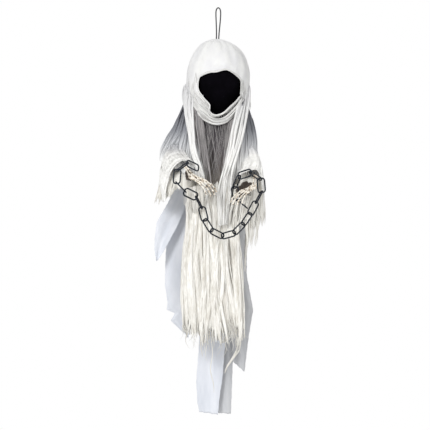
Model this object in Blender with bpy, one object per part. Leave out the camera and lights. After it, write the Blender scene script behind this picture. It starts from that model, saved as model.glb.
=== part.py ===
"""Hooded ghost figure for hanging up, with skeleton hands and a plastic chain.

The origin is the hang point, the inside of the top of the elastic loop. +Z is up, the figure
looks towards -Y and +X is at the right of someone who faces it. Sizes are in metres.
"""

import math

import bmesh
import bpy
from mathutils import Matrix, Vector

# Driving dimensions

fit_gap = 0.0003

loop_height = 0.0740
loop_cord = 0.0030
loop_half_width = 0.0057

head_half_width = 0.0695
head_half_depth = 0.0680
head_half_height = 0.0850
face_cloth_thickness = 0.0012
lining_thickness = 0.0012
hood_thickness = 0.0024
hood_drop = 0.0760

neck_radius = 0.0100
neck_depth_in_head = 0.0400
neck_length = 0.1150

gauze_thickness = 0.0020
nonwoven_thickness = 0.0012
cowl_radius = 0.0085
wire_diameter = 0.0060

link_length = 0.0365
link_width = 0.0220
link_wire = 0.0034
link_corner = 0.0062

finger_bone_radius = 0.0026
forearm_length = 0.0360
palm_length = 0.0340

# Heights that follow from the sizes above

layers_on_crown = hood_thickness + face_cloth_thickness + 2 * fit_gap
head_centre = Vector((0.0, 0.0, -(loop_height + layers_on_crown + head_half_height)))
hood_hem = head_centre.z - hood_drop
azimuths = 20
head_rings = 10


# Start from an empty scene

for old in list(bpy.data.objects):
    bpy.data.objects.remove(old)


def finish(name, colour, roughness, metallic=0.0):
    """One plain material."""
    made = bpy.data.materials.new(name)
    made.use_nodes = True
    shader = made.node_tree.nodes["Principled BSDF"]
    shader.inputs["Base Color"].default_value = (*colour, 1.0)
    shader.inputs["Roughness"].default_value = roughness
    shader.inputs["Metallic"].default_value = metallic
    return made


elastic = finish("black_elastic", (0.03, 0.03, 0.03), 0.8)
foam = finish("white_foam", (0.85, 0.85, 0.83), 0.9)
black_cloth = finish("black_cloth", (0.004, 0.003, 0.005), 0.95)
hood_gauze = finish("white_gauze", (0.80, 0.80, 0.77), 0.95)
cream_gauze = finish("cream_gauze", (0.80, 0.76, 0.66), 0.95)
grey_gauze = finish("grey_gauze", (0.16, 0.15, 0.16), 0.95)
nonwoven = finish("white_nonwoven", (0.68, 0.71, 0.78), 0.9)
steel = finish("arm_steel", (0.4, 0.4, 0.4), 0.5, 0.8)
bone = finish("ivory_plastic", (0.72, 0.64, 0.50), 0.5)
chain_plastic = finish("black_plastic", (0.012, 0.016, 0.024), 0.35)


def add_object(name, mesh, material):
    """Link a mesh or curve into the scene under the name of its piece."""
    made = bpy.data.objects.new(name, mesh)
    mesh.materials.append(material)
    bpy.context.collection.objects.link(made)
    return made


def mesh_from(bm, name, smooth=True):
    """Turn a bmesh into a mesh."""
    mesh = bpy.data.meshes.new(name)
    bm.to_mesh(mesh)
    bm.free()
    if smooth:
        mesh.shade_smooth()
        mesh.set_sharp_from_angle(angle=math.radians(50))
    return mesh


def smooth_read(points, share):
    """Point at a share of the way along a smooth curve through the given points."""
    place = share * (len(points) - 1)
    index = min(int(place), len(points) - 2)
    t = place - index
    p1 = Vector(points[index])
    p2 = Vector(points[index + 1])
    p0 = Vector(points[index - 1]) if index > 0 else 2 * p1 - p2
    p3 = Vector(points[index + 2]) if index + 2 < len(points) else 2 * p2 - p1
    bend = 2 * p0 - 5 * p1 + 4 * p2 - p3
    twist = 3 * p1 - p0 - 3 * p2 + p3
    return 0.5 * (2 * p1 + (p2 - p0) * t + bend * t * t + twist * t * t * t)


def value_at(table, height):
    """Value of an outline, a list of (height, value) from the top down, at one height."""
    if height >= table[0][0]:
        return table[0][1]
    for (upper, first), (lower, second) in zip(table, table[1:]):
        if height >= lower:
            t = (upper - height) / (upper - lower)
            rounded = t * t * (3 - 2 * t)
            return first + (second - first) * (0.5 * t + 0.5 * rounded)
    return table[-1][1]


def thicken(piece, thickness):
    """Give a sheet its thickness, half to each side."""
    solid = piece.modifiers.new("thickness", "SOLIDIFY")
    solid.thickness = thickness
    solid.offset = 0.0
    solid.use_even_offset = True


def cloth(name, columns, rows, place, thickness, material):
    """A sheet of cloth: place(s, t) gives the point at s across and t down, both 0 to 1."""
    bm = bmesh.new()
    bmesh.ops.create_grid(bm, x_segments=columns, y_segments=rows, size=0.5)
    for vertex in bm.verts:
        vertex.co = place(vertex.co.x + 0.5, 0.5 - vertex.co.y)
    piece = add_object(name, mesh_from(bm, name), material)
    thicken(piece, thickness)
    return piece


def tube(name, points, diameter, count, material, resolution=2):
    """A round cord or wire along the smooth curve through the points of its route."""
    curve = bpy.data.curves.new(name, "CURVE")
    curve.dimensions = "3D"
    curve.bevel_depth = diameter / 2
    curve.bevel_resolution = resolution
    curve.use_fill_caps = True
    spline = curve.splines.new("POLY")
    spline.points.add(count - 1)
    for index, point in enumerate(spline.points):
        point.co = (*smooth_read(points, index / (count - 1)), 1.0)
    return add_object(name, curve, material)


def guide(name, mesh):
    """A shape that only cuts or joins, and is no piece of the figure."""
    made = bpy.data.objects.new(name, mesh)
    made.hide_render = True
    made.display_type = "WIRE"
    bpy.context.collection.objects.link(made)
    return made


def combine(piece, other, operation, join_self=False):
    """Cut the other shape out of the piece, or join it on."""
    step = piece.modifiers.new(operation.lower(), "BOOLEAN")
    step.object = other
    step.operation = operation
    step.solver = "EXACT"
    step.use_self = join_self


# Outline of the cloth from the head down: outer surface at the left, right and back

left_outline = [
    (head_centre.z, -0.0757),
    (-0.2000, -0.0785),
    (hood_hem, -0.0840),
    (-0.2810, -0.1020),
    (-0.3200, -0.1300),
    (-0.3450, -0.1390),
    (-0.3800, -0.1370),
    (-0.4300, -0.1290),
    (-0.6500, -0.1200),
]
right_outline = [
    (head_centre.z, 0.0757),
    (hood_hem, 0.0757),
    (-0.2810, 0.0850),
    (-0.3450, 0.0920),
    (-0.3730, 0.0990),
    (-0.4300, 0.1040),
    (-0.6500, 0.0900),
]
back_outline = [
    (head_centre.z, 0.0742),
    (hood_hem, 0.0780),
    (-0.3200, 0.0700),
    (-0.4300, 0.0560),
    (-0.6500, 0.0480),
]
front_reach = 0.0742


def shell_point(angle, height, inset):
    """Point of a cloth layer that lies the inset inside the outline, at an angle from +X."""
    side = value_at(right_outline, height) if math.cos(angle) > 0 else -value_at(left_outline, height)
    depth = value_at(back_outline, height) if math.sin(angle) > 0 else front_reach
    return Vector(((side - inset) * math.cos(angle), (depth - inset) * math.sin(angle), height))


# Foam head with the black cloth that covers it

face_offset = fit_gap + face_cloth_thickness / 2


def egg(offset):
    """The head's form, grown by an offset."""
    bm = bmesh.new()
    bmesh.ops.create_uvsphere(bm, u_segments=azimuths, v_segments=head_rings, radius=1.0)
    size = Vector((head_half_width + offset, head_half_depth + offset, head_half_height + offset))
    bmesh.ops.scale(bm, vec=size, verts=bm.verts)
    bmesh.ops.translate(bm, vec=head_centre, verts=bm.verts)
    return bm


def make_head():
    """The foam egg, with the blind hole that the neck post is pushed into."""
    head = add_object("head_form", mesh_from(egg(0.0), "head_form"), foam)
    bm = bmesh.new()
    hole_depth = neck_depth_in_head + fit_gap
    hole_end = head_centre.z - head_half_height + hole_depth
    cutter_depth = hole_depth + 0.02
    bmesh.ops.create_cone(
        bm, cap_ends=True, segments=16, radius1=neck_radius + fit_gap,
        radius2=neck_radius + fit_gap, depth=cutter_depth,
        matrix=Matrix.Translation((0, 0, hole_end - cutter_depth / 2)),
    )
    combine(head, guide("neck_hole", mesh_from(bm, "neck_hole")), "DIFFERENCE")


def make_face_cloth():
    """Black cloth drawn over the egg like a sock, open round the neck."""
    bm = egg(face_offset)
    open_below = head_centre.z - 0.93 * head_half_height
    low = [vertex for vertex in bm.verts if vertex.co.z < open_below]
    bmesh.ops.delete(bm, geom=low, context="VERTS")
    thicken(add_object("face_cloth", mesh_from(bm, "face_cloth"), black_cloth), face_cloth_thickness)


# Hood: the crown follows the head and the sides fall straight, with a torn opening in front

face_opening = [
    (-0.0480, -0.1850), (-0.0470, -0.1730), (-0.0410, -0.1665), (-0.0210, -0.1582),
    (-0.0040, -0.1575), (0.0155, -0.1520), (0.0280, -0.1550), (0.0463, -0.1673),
    (0.0540, -0.1773), (0.0540, -0.2001), (0.0530, -0.2095), (0.0530, -0.2450),
    (-0.0335, -0.2450), (-0.0335, -0.2186), (-0.0470, -0.1987),
]


def make_hood():
    """The gauze hood with its jagged face opening."""
    bm = bmesh.new()
    bmesh.ops.create_uvsphere(bm, u_segments=azimuths, v_segments=head_rings, radius=1.0)
    crown_rise = head_half_height + layers_on_crown - hood_thickness / 2
    poles = [vertex for vertex in bm.verts if vertex.co.z < -0.999]
    bmesh.ops.delete(bm, geom=poles, context="VERTS")
    half_rings = head_rings // 2
    for vertex in bm.verts:
        angle = math.atan2(vertex.co.y, vertex.co.x)
        flat = math.hypot(vertex.co.x, vertex.co.y)
        if vertex.co.z > -0.001:
            rim = shell_point(angle, head_centre.z, hood_thickness / 2)
            height = head_centre.z + crown_rise * vertex.co.z
            vertex.co = (rim.x * flat, rim.y * flat, height)
        else:
            ring = math.asin(min(1.0, -vertex.co.z)) / (math.pi / 2)
            height = head_centre.z - hood_drop * ring * half_rings / (half_rings - 1)
            vertex.co = shell_point(angle, height, hood_thickness / 2)
    hood = add_object("hood", mesh_from(bm, "hood"), hood_gauze)
    thicken(hood, hood_thickness)
    cutter = bmesh.new()
    near = [cutter.verts.new((x, -0.12, z)) for x, z in face_opening]
    face = cutter.faces.new(near)
    grown = bmesh.ops.extrude_face_region(cutter, geom=[face])
    far = [item for item in grown["geom"] if isinstance(item, bmesh.types.BMVert)]
    bmesh.ops.translate(cutter, vec=(0, 0.11, 0), verts=far)
    bmesh.ops.recalc_face_normals(cutter, faces=cutter.faces)
    combine(hood, guide("opening_cutter", mesh_from(cutter, "opening_cutter", False)), "DIFFERENCE")


# Cowl: gauze gathered into a soft roll that hangs under the chin and closes behind the neck

cowl_side = value_at(right_outline, hood_hem) - hood_thickness - lining_thickness - 4 * fit_gap


def make_cowl():
    """A closed roll whose lobes are the gathers."""
    side = cowl_side - cowl_radius * 1.12
    gathered_at = [
        (side, -0.0060, 0.0132), (0.0530, -0.0340, 0.0012), (0.0330, -0.0550, -0.0178),
        (0.0080, -0.0650, -0.0288), (-0.0180, -0.0630, -0.0258), (-0.0380, -0.0520, -0.0128),
        (-0.0540, -0.0320, 0.0042), (-side, -0.0020, 0.0122), (-0.0480, 0.0380, 0.0052),
        (0.0, 0.0580, 0.0012), (0.0480, 0.0380, 0.0052),
    ]
    route = [(x, y, hood_hem + rise) for x, y, rise in gathered_at]
    around = route[-2:] + route + route[:2]
    lobes = bpy.data.curves.new("cowl_lobes", "CURVE")
    lobes.dimensions = "2D"
    outline = lobes.splines.new("POLY")
    outline.points.add(9)
    for index, point in enumerate(outline.points):
        angle = -math.tau * index / 10
        reach = cowl_radius * (1.0 if index % 2 else 0.78)
        point.co = (reach * math.cos(angle), reach * math.sin(angle), 0.0, 1.0)
    outline.use_cyclic_u = True
    curve = bpy.data.curves.new("cowl", "CURVE")
    curve.dimensions = "3D"
    curve.bevel_mode = "OBJECT"
    curve.bevel_object = guide("cowl_profile", lobes)
    spline = curve.splines.new("POLY")
    steps = 26
    spline.points.add(steps - 1)
    for index, point in enumerate(spline.points):
        share = (2 + len(route) * index / steps) / (len(around) - 1)
        point.co = (*smooth_read(around, share), 1.0)
    spline.use_cyclic_u = True
    add_object("cowl", curve, hood_gauze)


# Frame: a post in the head and one bent wire that carries both arms

neck_top = head_centre.z - head_half_height + neck_depth_in_head
wire_radius = wire_diameter / 2
wire_back = neck_radius + fit_gap + wire_radius
sheet_on_wire = wire_radius + 2 * fit_gap + gauze_thickness / 2
left_arm = [
    (-0.0640, 0.0040, -0.2980), (-0.0900, -0.0360, -0.3220), (-0.1000, -0.0720, -0.3480),
    (-0.0800, -0.0930, -0.3780),
]
right_arm = [
    (0.0560, 0.0040, -0.2980), (0.0740, -0.0370, -0.3280), (0.0920, -0.0680, -0.3680),
    (0.0880, -0.0920, -0.4000),
]


def make_frame():
    """Neck post and arm wire. The wire passes just behind the post."""
    bm = bmesh.new()
    bmesh.ops.create_cone(
        bm, cap_ends=True, segments=16, radius1=neck_radius, radius2=neck_radius,
        depth=neck_length, matrix=Matrix.Translation((0, 0, neck_top - neck_length / 2)),
    )
    add_object("neck_post", mesh_from(bm, "neck_post"), steel)
    middle = [(x, wire_back, -0.2930) for x in (-0.0280, -0.0100, 0.0100, 0.0280)]
    tube("arm_wire", left_arm[::-1] + middle + right_arm, wire_diameter, 32, steel)


# Cloth layers

def ruffle(s, folds, phase, depth):
    """Height of soft folds across a sheet, never below zero."""
    wave = math.sin(math.tau * folds * s + phase)
    small = math.sin(math.tau * folds * 2.3 * s + 2.1 * phase)
    return depth * (0.5 + 0.36 * wave + 0.14 * small)


def jag(s, teeth, phase):
    """Ragged hem, from -1 to 1 across the sheet."""
    return 0.6 * math.sin(math.tau * teeth * s + phase) + 0.4 * math.sin(math.tau * teeth * 1.7 * s)


lining_inset = hood_thickness + fit_gap + lining_thickness / 2
lining_hem = -0.4300
lining_side_hem = -0.3220
lining_step = math.tau / azimuths
lining_first = -1
lining_last = 11
hood_levels = [head_centre.z - hood_drop * step / 4 for step in range(5)]
fall_levels = [-0.2620, -0.2860, -0.3100, -0.3400, -0.3800, lining_hem]
gauze_levels = fall_levels + [-0.4900, -0.5600, -0.6500]


def ease(value, low, high):
    """0 below low, 1 above high and smooth between."""
    t = min(1.0, max(0.0, (value - low) / (high - low)))
    return t * t * (3 - 2 * t)


def make_back_lining():
    """Dark cloth glued round the back and sides of the head, down to the elbows."""
    count = lining_last - lining_first
    levels = hood_levels + fall_levels

    def place(s, t):
        angle = lining_step * (lining_first + s * count)
        level = levels[round(t * (len(levels) - 1))]
        hem = lining_side_hem + (lining_hem - lining_side_hem) * ease(math.sin(angle), 0.05, 0.45)
        below = min(0.0, level - hood_hem)
        height = level - below + below * (hem - hood_hem) / (lining_hem - hood_hem)
        return shell_point(angle, height, lining_inset)

    cloth("back_lining", count, len(levels) - 1, place, lining_thickness, grey_gauze)


def make_back_gauze():
    """White gauze that falls from the hood's hem down the back."""
    levels = [hood_hem - 2 * fit_gap] + gauze_levels

    def place(s, t):
        angle = lining_step * (1.5 + 7 * s)
        height = levels[round(t * (len(levels) - 1))]
        fold = ruffle(s, 5, 0.4, 0.012) * min(1.0, 2.2 * t)
        point = shell_point(angle, height, gauze_thickness / 2 - fold - 0.0015 * min(1.0, 6 * t))
        point.z += 0.022 * t ** 4 * jag(s, 5, 0.6)
        return point

    cloth("back_gauze", 21, len(levels) - 1, place, gauze_thickness, cream_gauze)


# Front cloth: one curved plane that the dark lining and the gauze in front of it share

front_top = -0.2800
front_hem = -0.4500
front_centre = 0.0040
front_half = 0.0420


def front_plane(x, height):
    """Depth of the front cloth: at the neck post above, then forward over the arms' level."""
    fall = ease(-height, -front_top, -front_hem)
    across = (x - front_centre) / front_half
    nearest = neck_radius + 2 * fit_gap + lining_thickness / 2
    return -nearest - 0.0300 * fall + 0.0100 * across * across * (1 - 0.5 * fall)


def make_front_lining():
    """Dark gauze from the neck down between the arms, seen as the dark V under the chin."""
    def place(s, t):
        height = front_top + (front_hem - front_top) * t
        x = front_centre + front_half * (2 * s - 1) * (0.95 + 0.05 * math.cos(math.pi * t))
        fold = ruffle(s, 4, 1.0, 0.006) * math.sin(math.pi * t)
        return Vector((x, front_plane(x, height) + fold, height))

    cloth("front_lining", 10, 6, place, lining_thickness, grey_gauze)


gauze_top = -0.4320
gauze_left = [(gauze_top, -0.0400), (-0.4700, -0.0680), (-0.6000, -0.0810), (-0.7800, -0.0820)]
gauze_right = [(gauze_top, 0.0450), (-0.4700, 0.0500), (-0.6000, 0.0500), (-0.8000, 0.0660)]
gauze_hem_left = -0.7750
gauze_hem_right = -0.8060


def make_front_gauze():
    """The front apron: gauze drawn into long bundles of thread, with a torn hem."""
    apart = lining_thickness / 2 + 4 * fit_gap + gauze_thickness / 2

    def place(s, t):
        hem = gauze_hem_left + (gauze_hem_right - gauze_hem_left) * ease(s, 0.10, 0.35)
        height = gauze_top + (hem - gauze_top) * t
        left = value_at(gauze_left, height)
        x = left + (value_at(gauze_right, height) - left) * s
        folds = ruffle(s, 9, 0.8 + 1.2 * t, 0.011) * ease(t, 0.03, 0.25)
        height += 0.012 * jag(s, 8, 0.5) * t * t * t
        return Vector((x, front_plane(x, max(height, front_hem)) - apart - folds, height))

    cloth("front_gauze", 30, 9, place, gauze_thickness, cream_gauze)


def strip(name, left_edge, right_edge, columns, rows, folds, depth, thickness, material):
    """A cloth strip between two edges, each a route from the top down, with folds along it."""
    def place(s, t):
        left = smooth_read(left_edge, t)
        right = smooth_read(right_edge, t)
        point = left.lerp(right, s)
        point.y -= ruffle(s, folds, 0.9, depth) * ease(t, 0.0, 0.3)
        return point

    cloth(name, columns, rows, place, thickness, material)


def lapel(name, angles, left_edge, right_edge, rows):
    """A gauze strip that lies on the hood at first and hangs free below its hem."""
    outward = 1.5 * fit_gap + gauze_thickness / 2

    def place(s, t):
        free = smooth_read(left_edge, t).lerp(smooth_read(right_edge, t), s)
        angle = math.radians(angles[0] + (angles[1] - angles[0]) * s)
        on_hood = shell_point(angle, free.z, -outward)
        loose = ease(-free.z, -hood_hem, 0.0400 - hood_hem)
        free.y -= ruffle(s, 3, 0.9, 0.006)
        return on_hood.lerp(free, loose)

    cloth(name, 8, rows, place, gauze_thickness, hood_gauze)


def make_lapels():
    """Gauze strips that are sewn to the hood beside the face and hang in front of the chest."""
    lapel(
        "left_lapel", (193, 222),
        [(-0.0730, -0.0200, -0.2020), (-0.0790, -0.0480, -0.2750),
         (-0.0740, -0.0620, -0.3200), (-0.0620, -0.0700, -0.3650), (-0.0430, -0.0680, -0.4100),
         (-0.0300, -0.0640, -0.4450)],
        [(-0.0560, -0.0500, -0.2020), (-0.0540, -0.0680, -0.2750),
         (-0.0480, -0.0760, -0.3200), (-0.0360, -0.0780, -0.3650), (-0.0200, -0.0750, -0.4100),
         (-0.0130, -0.0700, -0.4450)],
        11,
    )
    lapel(
        "right_lapel", (319, 347),
        [(0.0570, -0.0480, -0.2020), (0.0420, -0.0700, -0.2750),
         (0.0330, -0.0780, -0.3250), (0.0200, -0.0800, -0.3750), (0.0060, -0.0760, -0.4250),
         (0.0000, -0.0700, -0.4800), (0.0020, -0.0680, -0.5200)],
        [(0.0730, -0.0180, -0.2020), (0.0660, -0.0500, -0.2750),
         (0.0600, -0.0640, -0.3250), (0.0460, -0.0720, -0.3750), (0.0360, -0.0720, -0.4250),
         (0.0320, -0.0680, -0.4800), (0.0260, -0.0670, -0.5200)],
        12,
    )


def sleeve(name, arm, side, first, last, out_width, in_width, out_drops, in_drops):
    """Gauze laid over the arm wire like a tent; side is -1 or 1, outward from the body."""
    def place(s, t):
        share = first + (last - first) * t
        ridge = smooth_read(arm, share)
        ahead = smooth_read(arm, min(1.0, share + 0.02)) - smooth_read(arm, max(0.0, share - 0.02))
        outward = Vector((-ahead.y, ahead.x, 0.0)).normalized()
        if outward.x * side < 0:
            outward = -outward
        across = 2 * s - 1
        turn = math.sin(across * math.pi / 2)
        if across < 0:
            reach = out_width * turn
            drop = out_drops[0] + (out_drops[1] - out_drops[0]) * t
        else:
            reach = in_width * turn
            drop = in_drops[0] + (in_drops[1] - in_drops[0]) * t
        down = drop * abs(across) ** 1.7 * (1 + 0.10 * jag(s, 4, 0.3 + 2 * t) * abs(across))
        swell = 0.010 * ruffle(s, 5, 0.5 + 1.5 * t, 1.0) * across * across
        lift = Vector((0, 0, 1)) - Vector((0, 0, 1)).project(ahead)
        point = ridge - outward * (reach + math.copysign(swell, turn))
        point += lift.normalized() * sheet_on_wire
        point.z -= down
        return point

    cloth(name, 16, 7, place, gauze_thickness, cream_gauze)


def make_sleeves():
    """One sleeve over each arm wire, open below."""
    sleeve("left_sleeve", left_arm, -1, 0.42, 0.97, 0.046, 0.030, (0.085, 0.092), (0.070, 0.050))
    sleeve("right_sleeve", right_arm, 1, 0.46, 0.96, 0.030, 0.022, (0.100, 0.110), (0.070, 0.036))


# Strips of nonwoven cloth that hang from the inside of the back lining

strip_inset = lining_inset + lining_thickness / 2 + 3 * fit_gap + nonwoven_thickness / 2
strip_top = -0.4220


def hung_at(angle_degrees):
    """Top corner of a strip on the lining's inner face."""
    return shell_point(math.radians(angle_degrees), strip_top, strip_inset)


def hang_strip(name, top_angles, left, right, folds, depth, columns=6, rows=8):
    """A nonwoven strip from two corners on the lining."""
    first, last = top_angles
    strip(name, [hung_at(first)] + left, [hung_at(last)] + right,
          columns, rows, folds, depth, nonwoven_thickness, nonwoven)


def make_strips():
    """The torn strips of the robe."""
    hang_strip(
        "left_pointed_strip", (157, 143),
        [(-0.1230, -0.0060, -0.4750), (-0.1520, -0.0180, -0.5250), (-0.1500, -0.0200, -0.5700),
         (-0.1470, -0.0200, -0.6040)],
        [(-0.0960, -0.0020, -0.4850), (-0.1080, -0.0120, -0.5300), (-0.1270, -0.0180, -0.5750),
         (-0.1440, -0.0200, -0.6030)],
        2, 0.004,
    )
    hang_strip(
        "left_strip", (139, 123),
        [(-0.1000, 0.0240, -0.4800), (-0.1260, 0.0100, -0.5800), (-0.1290, 0.0060, -0.6600),
         (-0.1230, 0.0060, -0.7250)],
        [(-0.0640, 0.0240, -0.4900), (-0.0580, 0.0100, -0.6200), (-0.0600, 0.0100, -0.7200),
         (-0.0700, 0.0080, -0.7880)],
        3, 0.006, 9, 9,
    )
    hang_strip(
        "right_strip", (70, 48),
        [(0.0340, 0.0260, -0.5300), (0.0360, 0.0180, -0.6500), (0.0340, 0.0160, -0.7600),
         (0.0350, 0.0140, -0.8480)],
        [(0.0700, 0.0160, -0.5200), (0.0680, 0.0120, -0.6100), (0.0840, 0.0100, -0.7250),
         (0.0640, 0.0120, -0.8710)],
        2, 0.008, 8, 9,
    )
    hang_strip(
        "bottom_rear_strip", (95, 78),
        [(-0.0120, 0.0480, -0.4700), (-0.0200, 0.0340, -0.6500), (-0.0200, 0.0280, -0.8200),
         (-0.0180, 0.0240, -0.9740)],
        [(0.0240, 0.0470, -0.4700), (0.0330, 0.0340, -0.6500), (0.0355, 0.0280, -0.8400),
         (0.0300, 0.0240, -0.9750)],
        2, 0.003,
    )
    hang_strip(
        "bottom_front_strip", (117, 98),
        [(-0.0480, 0.0420, -0.4700), (-0.0430, 0.0260, -0.6500), (-0.0510, 0.0160, -0.8700),
         (-0.0460, 0.0140, -0.9700)],
        [(-0.0060, 0.0380, -0.4700), (0.0140, 0.0220, -0.6500), (0.0120, 0.0150, -0.8700),
         (-0.0010, 0.0130, -0.9760)],
        3, 0.004, 8, 9,
    )


# Skeleton hands, each moulded in one piece with the stub of its forearm

finger_rows = [
    (0.0070, 0.0125, 0.90), (0.0025, 0.0045, 1.00), (-0.0025, -0.0040, 0.95), (-0.0070, -0.0115, 0.78),
]
phalanges = (0.0190, 0.0130, 0.0100)
curls = (12, 20, 18)


def add_bone(bm, start, end, radius, sides=5):
    """A bone with a knob at each end and a slim shaft, as a loft of rings."""
    axis = (end - start).normalized()
    turn = axis.to_track_quat("Z", "Y").to_matrix()
    profile = ((0.00, 0.62), (0.12, 1.08), (0.50, 0.60), (0.88, 0.98), (1.00, 0.58))
    rings = []
    for share, swell in profile:
        centre = start.lerp(end, share)
        ring = []
        for index in range(sides):
            angle = math.tau * index / sides
            offset = Vector((math.cos(angle), math.sin(angle), 0.0)) * radius * swell
            ring.append(bm.verts.new(centre + turn @ offset))
        rings.append(ring)
    for lower, upper in zip(rings, rings[1:]):
        for index in range(sides):
            following = (index + 1) % sides
            bm.faces.new((lower[index], lower[following], upper[following], upper[index]))
    bm.faces.new(rings[0][::-1])
    bm.faces.new(rings[-1])


def make_hand(name, arm, along, back_of_hand, thumb_side):
    """A hand beyond the end of its arm wire: along the fingers, with the back of the hand given."""
    wire_end = Vector(arm[-1])
    towards = (wire_end - Vector(arm[-2])).normalized()
    elbow = wire_end + towards * 2 * fit_gap
    origin = elbow + towards * forearm_length
    x_axis = Vector(along).normalized()
    z_axis = Vector(back_of_hand)
    z_axis = (z_axis - z_axis.project(x_axis)).normalized()
    y_axis = z_axis.cross(x_axis) * thumb_side

    def at(x, y, z):
        return origin + x_axis * x + y_axis * y + z_axis * z

    bm = bmesh.new()
    r = finger_bone_radius
    side = (y_axis - y_axis.project(towards)).normalized()
    add_bone(bm, elbow + side * 0.0028, origin + side * 0.0048, 1.35 * r)
    add_bone(bm, elbow - side * 0.0028, origin - side * 0.0048, 1.20 * r)
    for root, knuckle, scale in finger_rows:
        start = at(0.0060, root, 0.0)
        end = at(palm_length, knuckle, 0.0015)
        add_bone(bm, start, end, r)
        spread = math.atan2(knuckle - root, palm_length - 0.006)
        bend = 0.0
        for length, curl in zip(phalanges, curls):
            bend += math.radians(curl)
            heading = x_axis * math.cos(bend) * math.cos(spread)
            heading += y_axis * math.sin(spread) * math.cos(bend) - z_axis * math.sin(bend)
            start = end - heading * 0.0015
            end = end + heading * length * scale
            add_bone(bm, start, end, 0.88 * r)
    thumb = (at(0.0050, 0.0080, 0.0), at(0.0200, 0.0190, -0.0040), at(0.0330, 0.0235, -0.0090),
             at(0.0430, 0.0240, -0.0140))
    for start, end in zip(thumb, thumb[1:]):
        add_bone(bm, start - (end - start) * 0.08, end, r)
    hand = add_object(name, mesh_from(bm, name), bone)
    block = bmesh.new()
    bmesh.ops.create_uvsphere(block, u_segments=10, v_segments=6, radius=1.0)
    placed = Matrix((
        (*(x_axis * 0.0095),), (*(y_axis * 0.0110),), (*(z_axis * 0.0050),),
    )).transposed().to_4x4()
    placed.translation = at(0.0040, 0.0, 0.0)
    bmesh.ops.transform(block, matrix=placed, verts=block.verts)
    bmesh.ops.recalc_face_normals(block, faces=block.faces)
    combine(hand, guide(name + "_carpals", mesh_from(block, name + "_carpals")), "UNION", True)


def make_hands():
    """Both hands, each butted against the end of its arm wire."""
    make_hand("left_hand", left_arm, (0.76, -0.44, -0.48), (0.35, -0.60, 0.72), 1)
    make_hand("right_hand", right_arm, (-0.70, -0.58, -0.42), (-0.30, -0.50, 0.80), -1)


# Chain: every link is loose, and the joints between links lie along one route

chain_route = [
    (-0.0480, -0.1200, -0.3860), (-0.0640, -0.1300, -0.3740), (-0.0880, -0.1360, -0.3820),
    (-0.1010, -0.1380, -0.4080), (-0.0880, -0.1360, -0.4340), (-0.0620, -0.1260, -0.4480),
    (-0.0440, -0.1260, -0.4600), (-0.0390, -0.1280, -0.4780), (-0.0340, -0.1280, -0.5020),
    (-0.0160, -0.1280, -0.5330), (0.0110, -0.1280, -0.5460), (0.0390, -0.1280, -0.5370),
    (0.0600, -0.1280, -0.5150), (0.0750, -0.1280, -0.4920), (0.0860, -0.1260, -0.4700),
    (0.0990, -0.1260, -0.4480), (0.1040, -0.1270, -0.4240), (0.0900, -0.1300, -0.4020),
    (0.0640, -0.1240, -0.3960), (0.0420, -0.1160, -0.4120), (0.0380, -0.1120, -0.4420),
    (0.0500, -0.1120, -0.4680), (0.0720, -0.1120, -0.4820),
]
joint_angle = math.radians(38)
joint_reach = (link_wire + fit_gap) / (2 * math.cos(joint_angle / 2))
link_pitch = link_length - link_wire - 2 * joint_reach
link_rolls = [40, 100, 30, 90, 10, 100, 30, 130, 45, 135, 45, 130, 35, 100, 20, 110, 30, 120, 30, 90]
link_count = len(link_rolls)


def link_mesh():
    """One moulded link: a round bar bent to a rounded rectangle, long way along X."""
    half_length = (link_length - link_wire) / 2
    half_width = (link_width - link_wire) / 2
    corners = ((1, 1, 0), (-1, 1, 90), (-1, -1, 180), (1, -1, 270))
    path = []
    for sign_x, sign_y, first in corners:
        centre = Vector((sign_x * (half_length - link_corner), sign_y * (half_width - link_corner), 0))
        for step in range(3):
            angle = math.radians(first + 45 * step)
            path.append((centre, Vector((math.cos(angle), math.sin(angle), 0))))
    bm = bmesh.new()
    rings = []
    for centre, outward in path:
        ring = []
        for index in range(6):
            angle = math.tau * index / 6
            bar = outward * (link_corner + link_wire / 2 * math.cos(angle))
            ring.append(bm.verts.new(centre + bar + Vector((0, 0, link_wire / 2 * math.sin(angle)))))
        rings.append(ring)
    for ring, following in zip(rings, rings[1:] + rings[:1]):
        for index in range(6):
            after = (index + 1) % 6
            bm.faces.new((ring[index], ring[after], following[after], following[index]))
    bmesh.ops.recalc_face_normals(bm, faces=bm.faces)
    return mesh_from(bm, "chain_link")


def joints_along(route, pitch, count):
    """Places along a smooth route that lie one pitch apart."""
    joints = [Vector(route[0])]
    samples = 60 * len(route)
    for index in range(samples + 1):
        here = smooth_read(route, index / samples)
        if (here - joints[-1]).length >= pitch and len(joints) <= count:
            joints.append(joints[-1] + (here - joints[-1]).normalized() * pitch)
    return joints


def make_chain():
    """The whole chain, from the left wrist over its slack to the right wrist."""
    shape = link_mesh()
    shape.materials.append(chain_plastic)
    joints = joints_along(chain_route, link_pitch, link_count)
    for index, (start, end) in enumerate(zip(joints, joints[1:])):
        along = (end - start).normalized()
        level = Vector((0, -1, 0))
        level = (level - level.project(along)).normalized()
        across = level.cross(along)
        roll = math.radians(link_rolls[index])
        y_axis = across * math.cos(roll) + level * math.sin(roll)
        z_axis = along.cross(y_axis)
        link = bpy.data.objects.new(f"chain_link_{index + 1:02d}", shape)
        turn = Matrix((along, y_axis, z_axis)).transposed().to_4x4()
        turn.translation = (start + end) / 2
        link.matrix_world = turn
        bpy.context.collection.objects.link(link)


# Hanging loop: one elastic cord whose two ends are fixed in the crown

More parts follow.
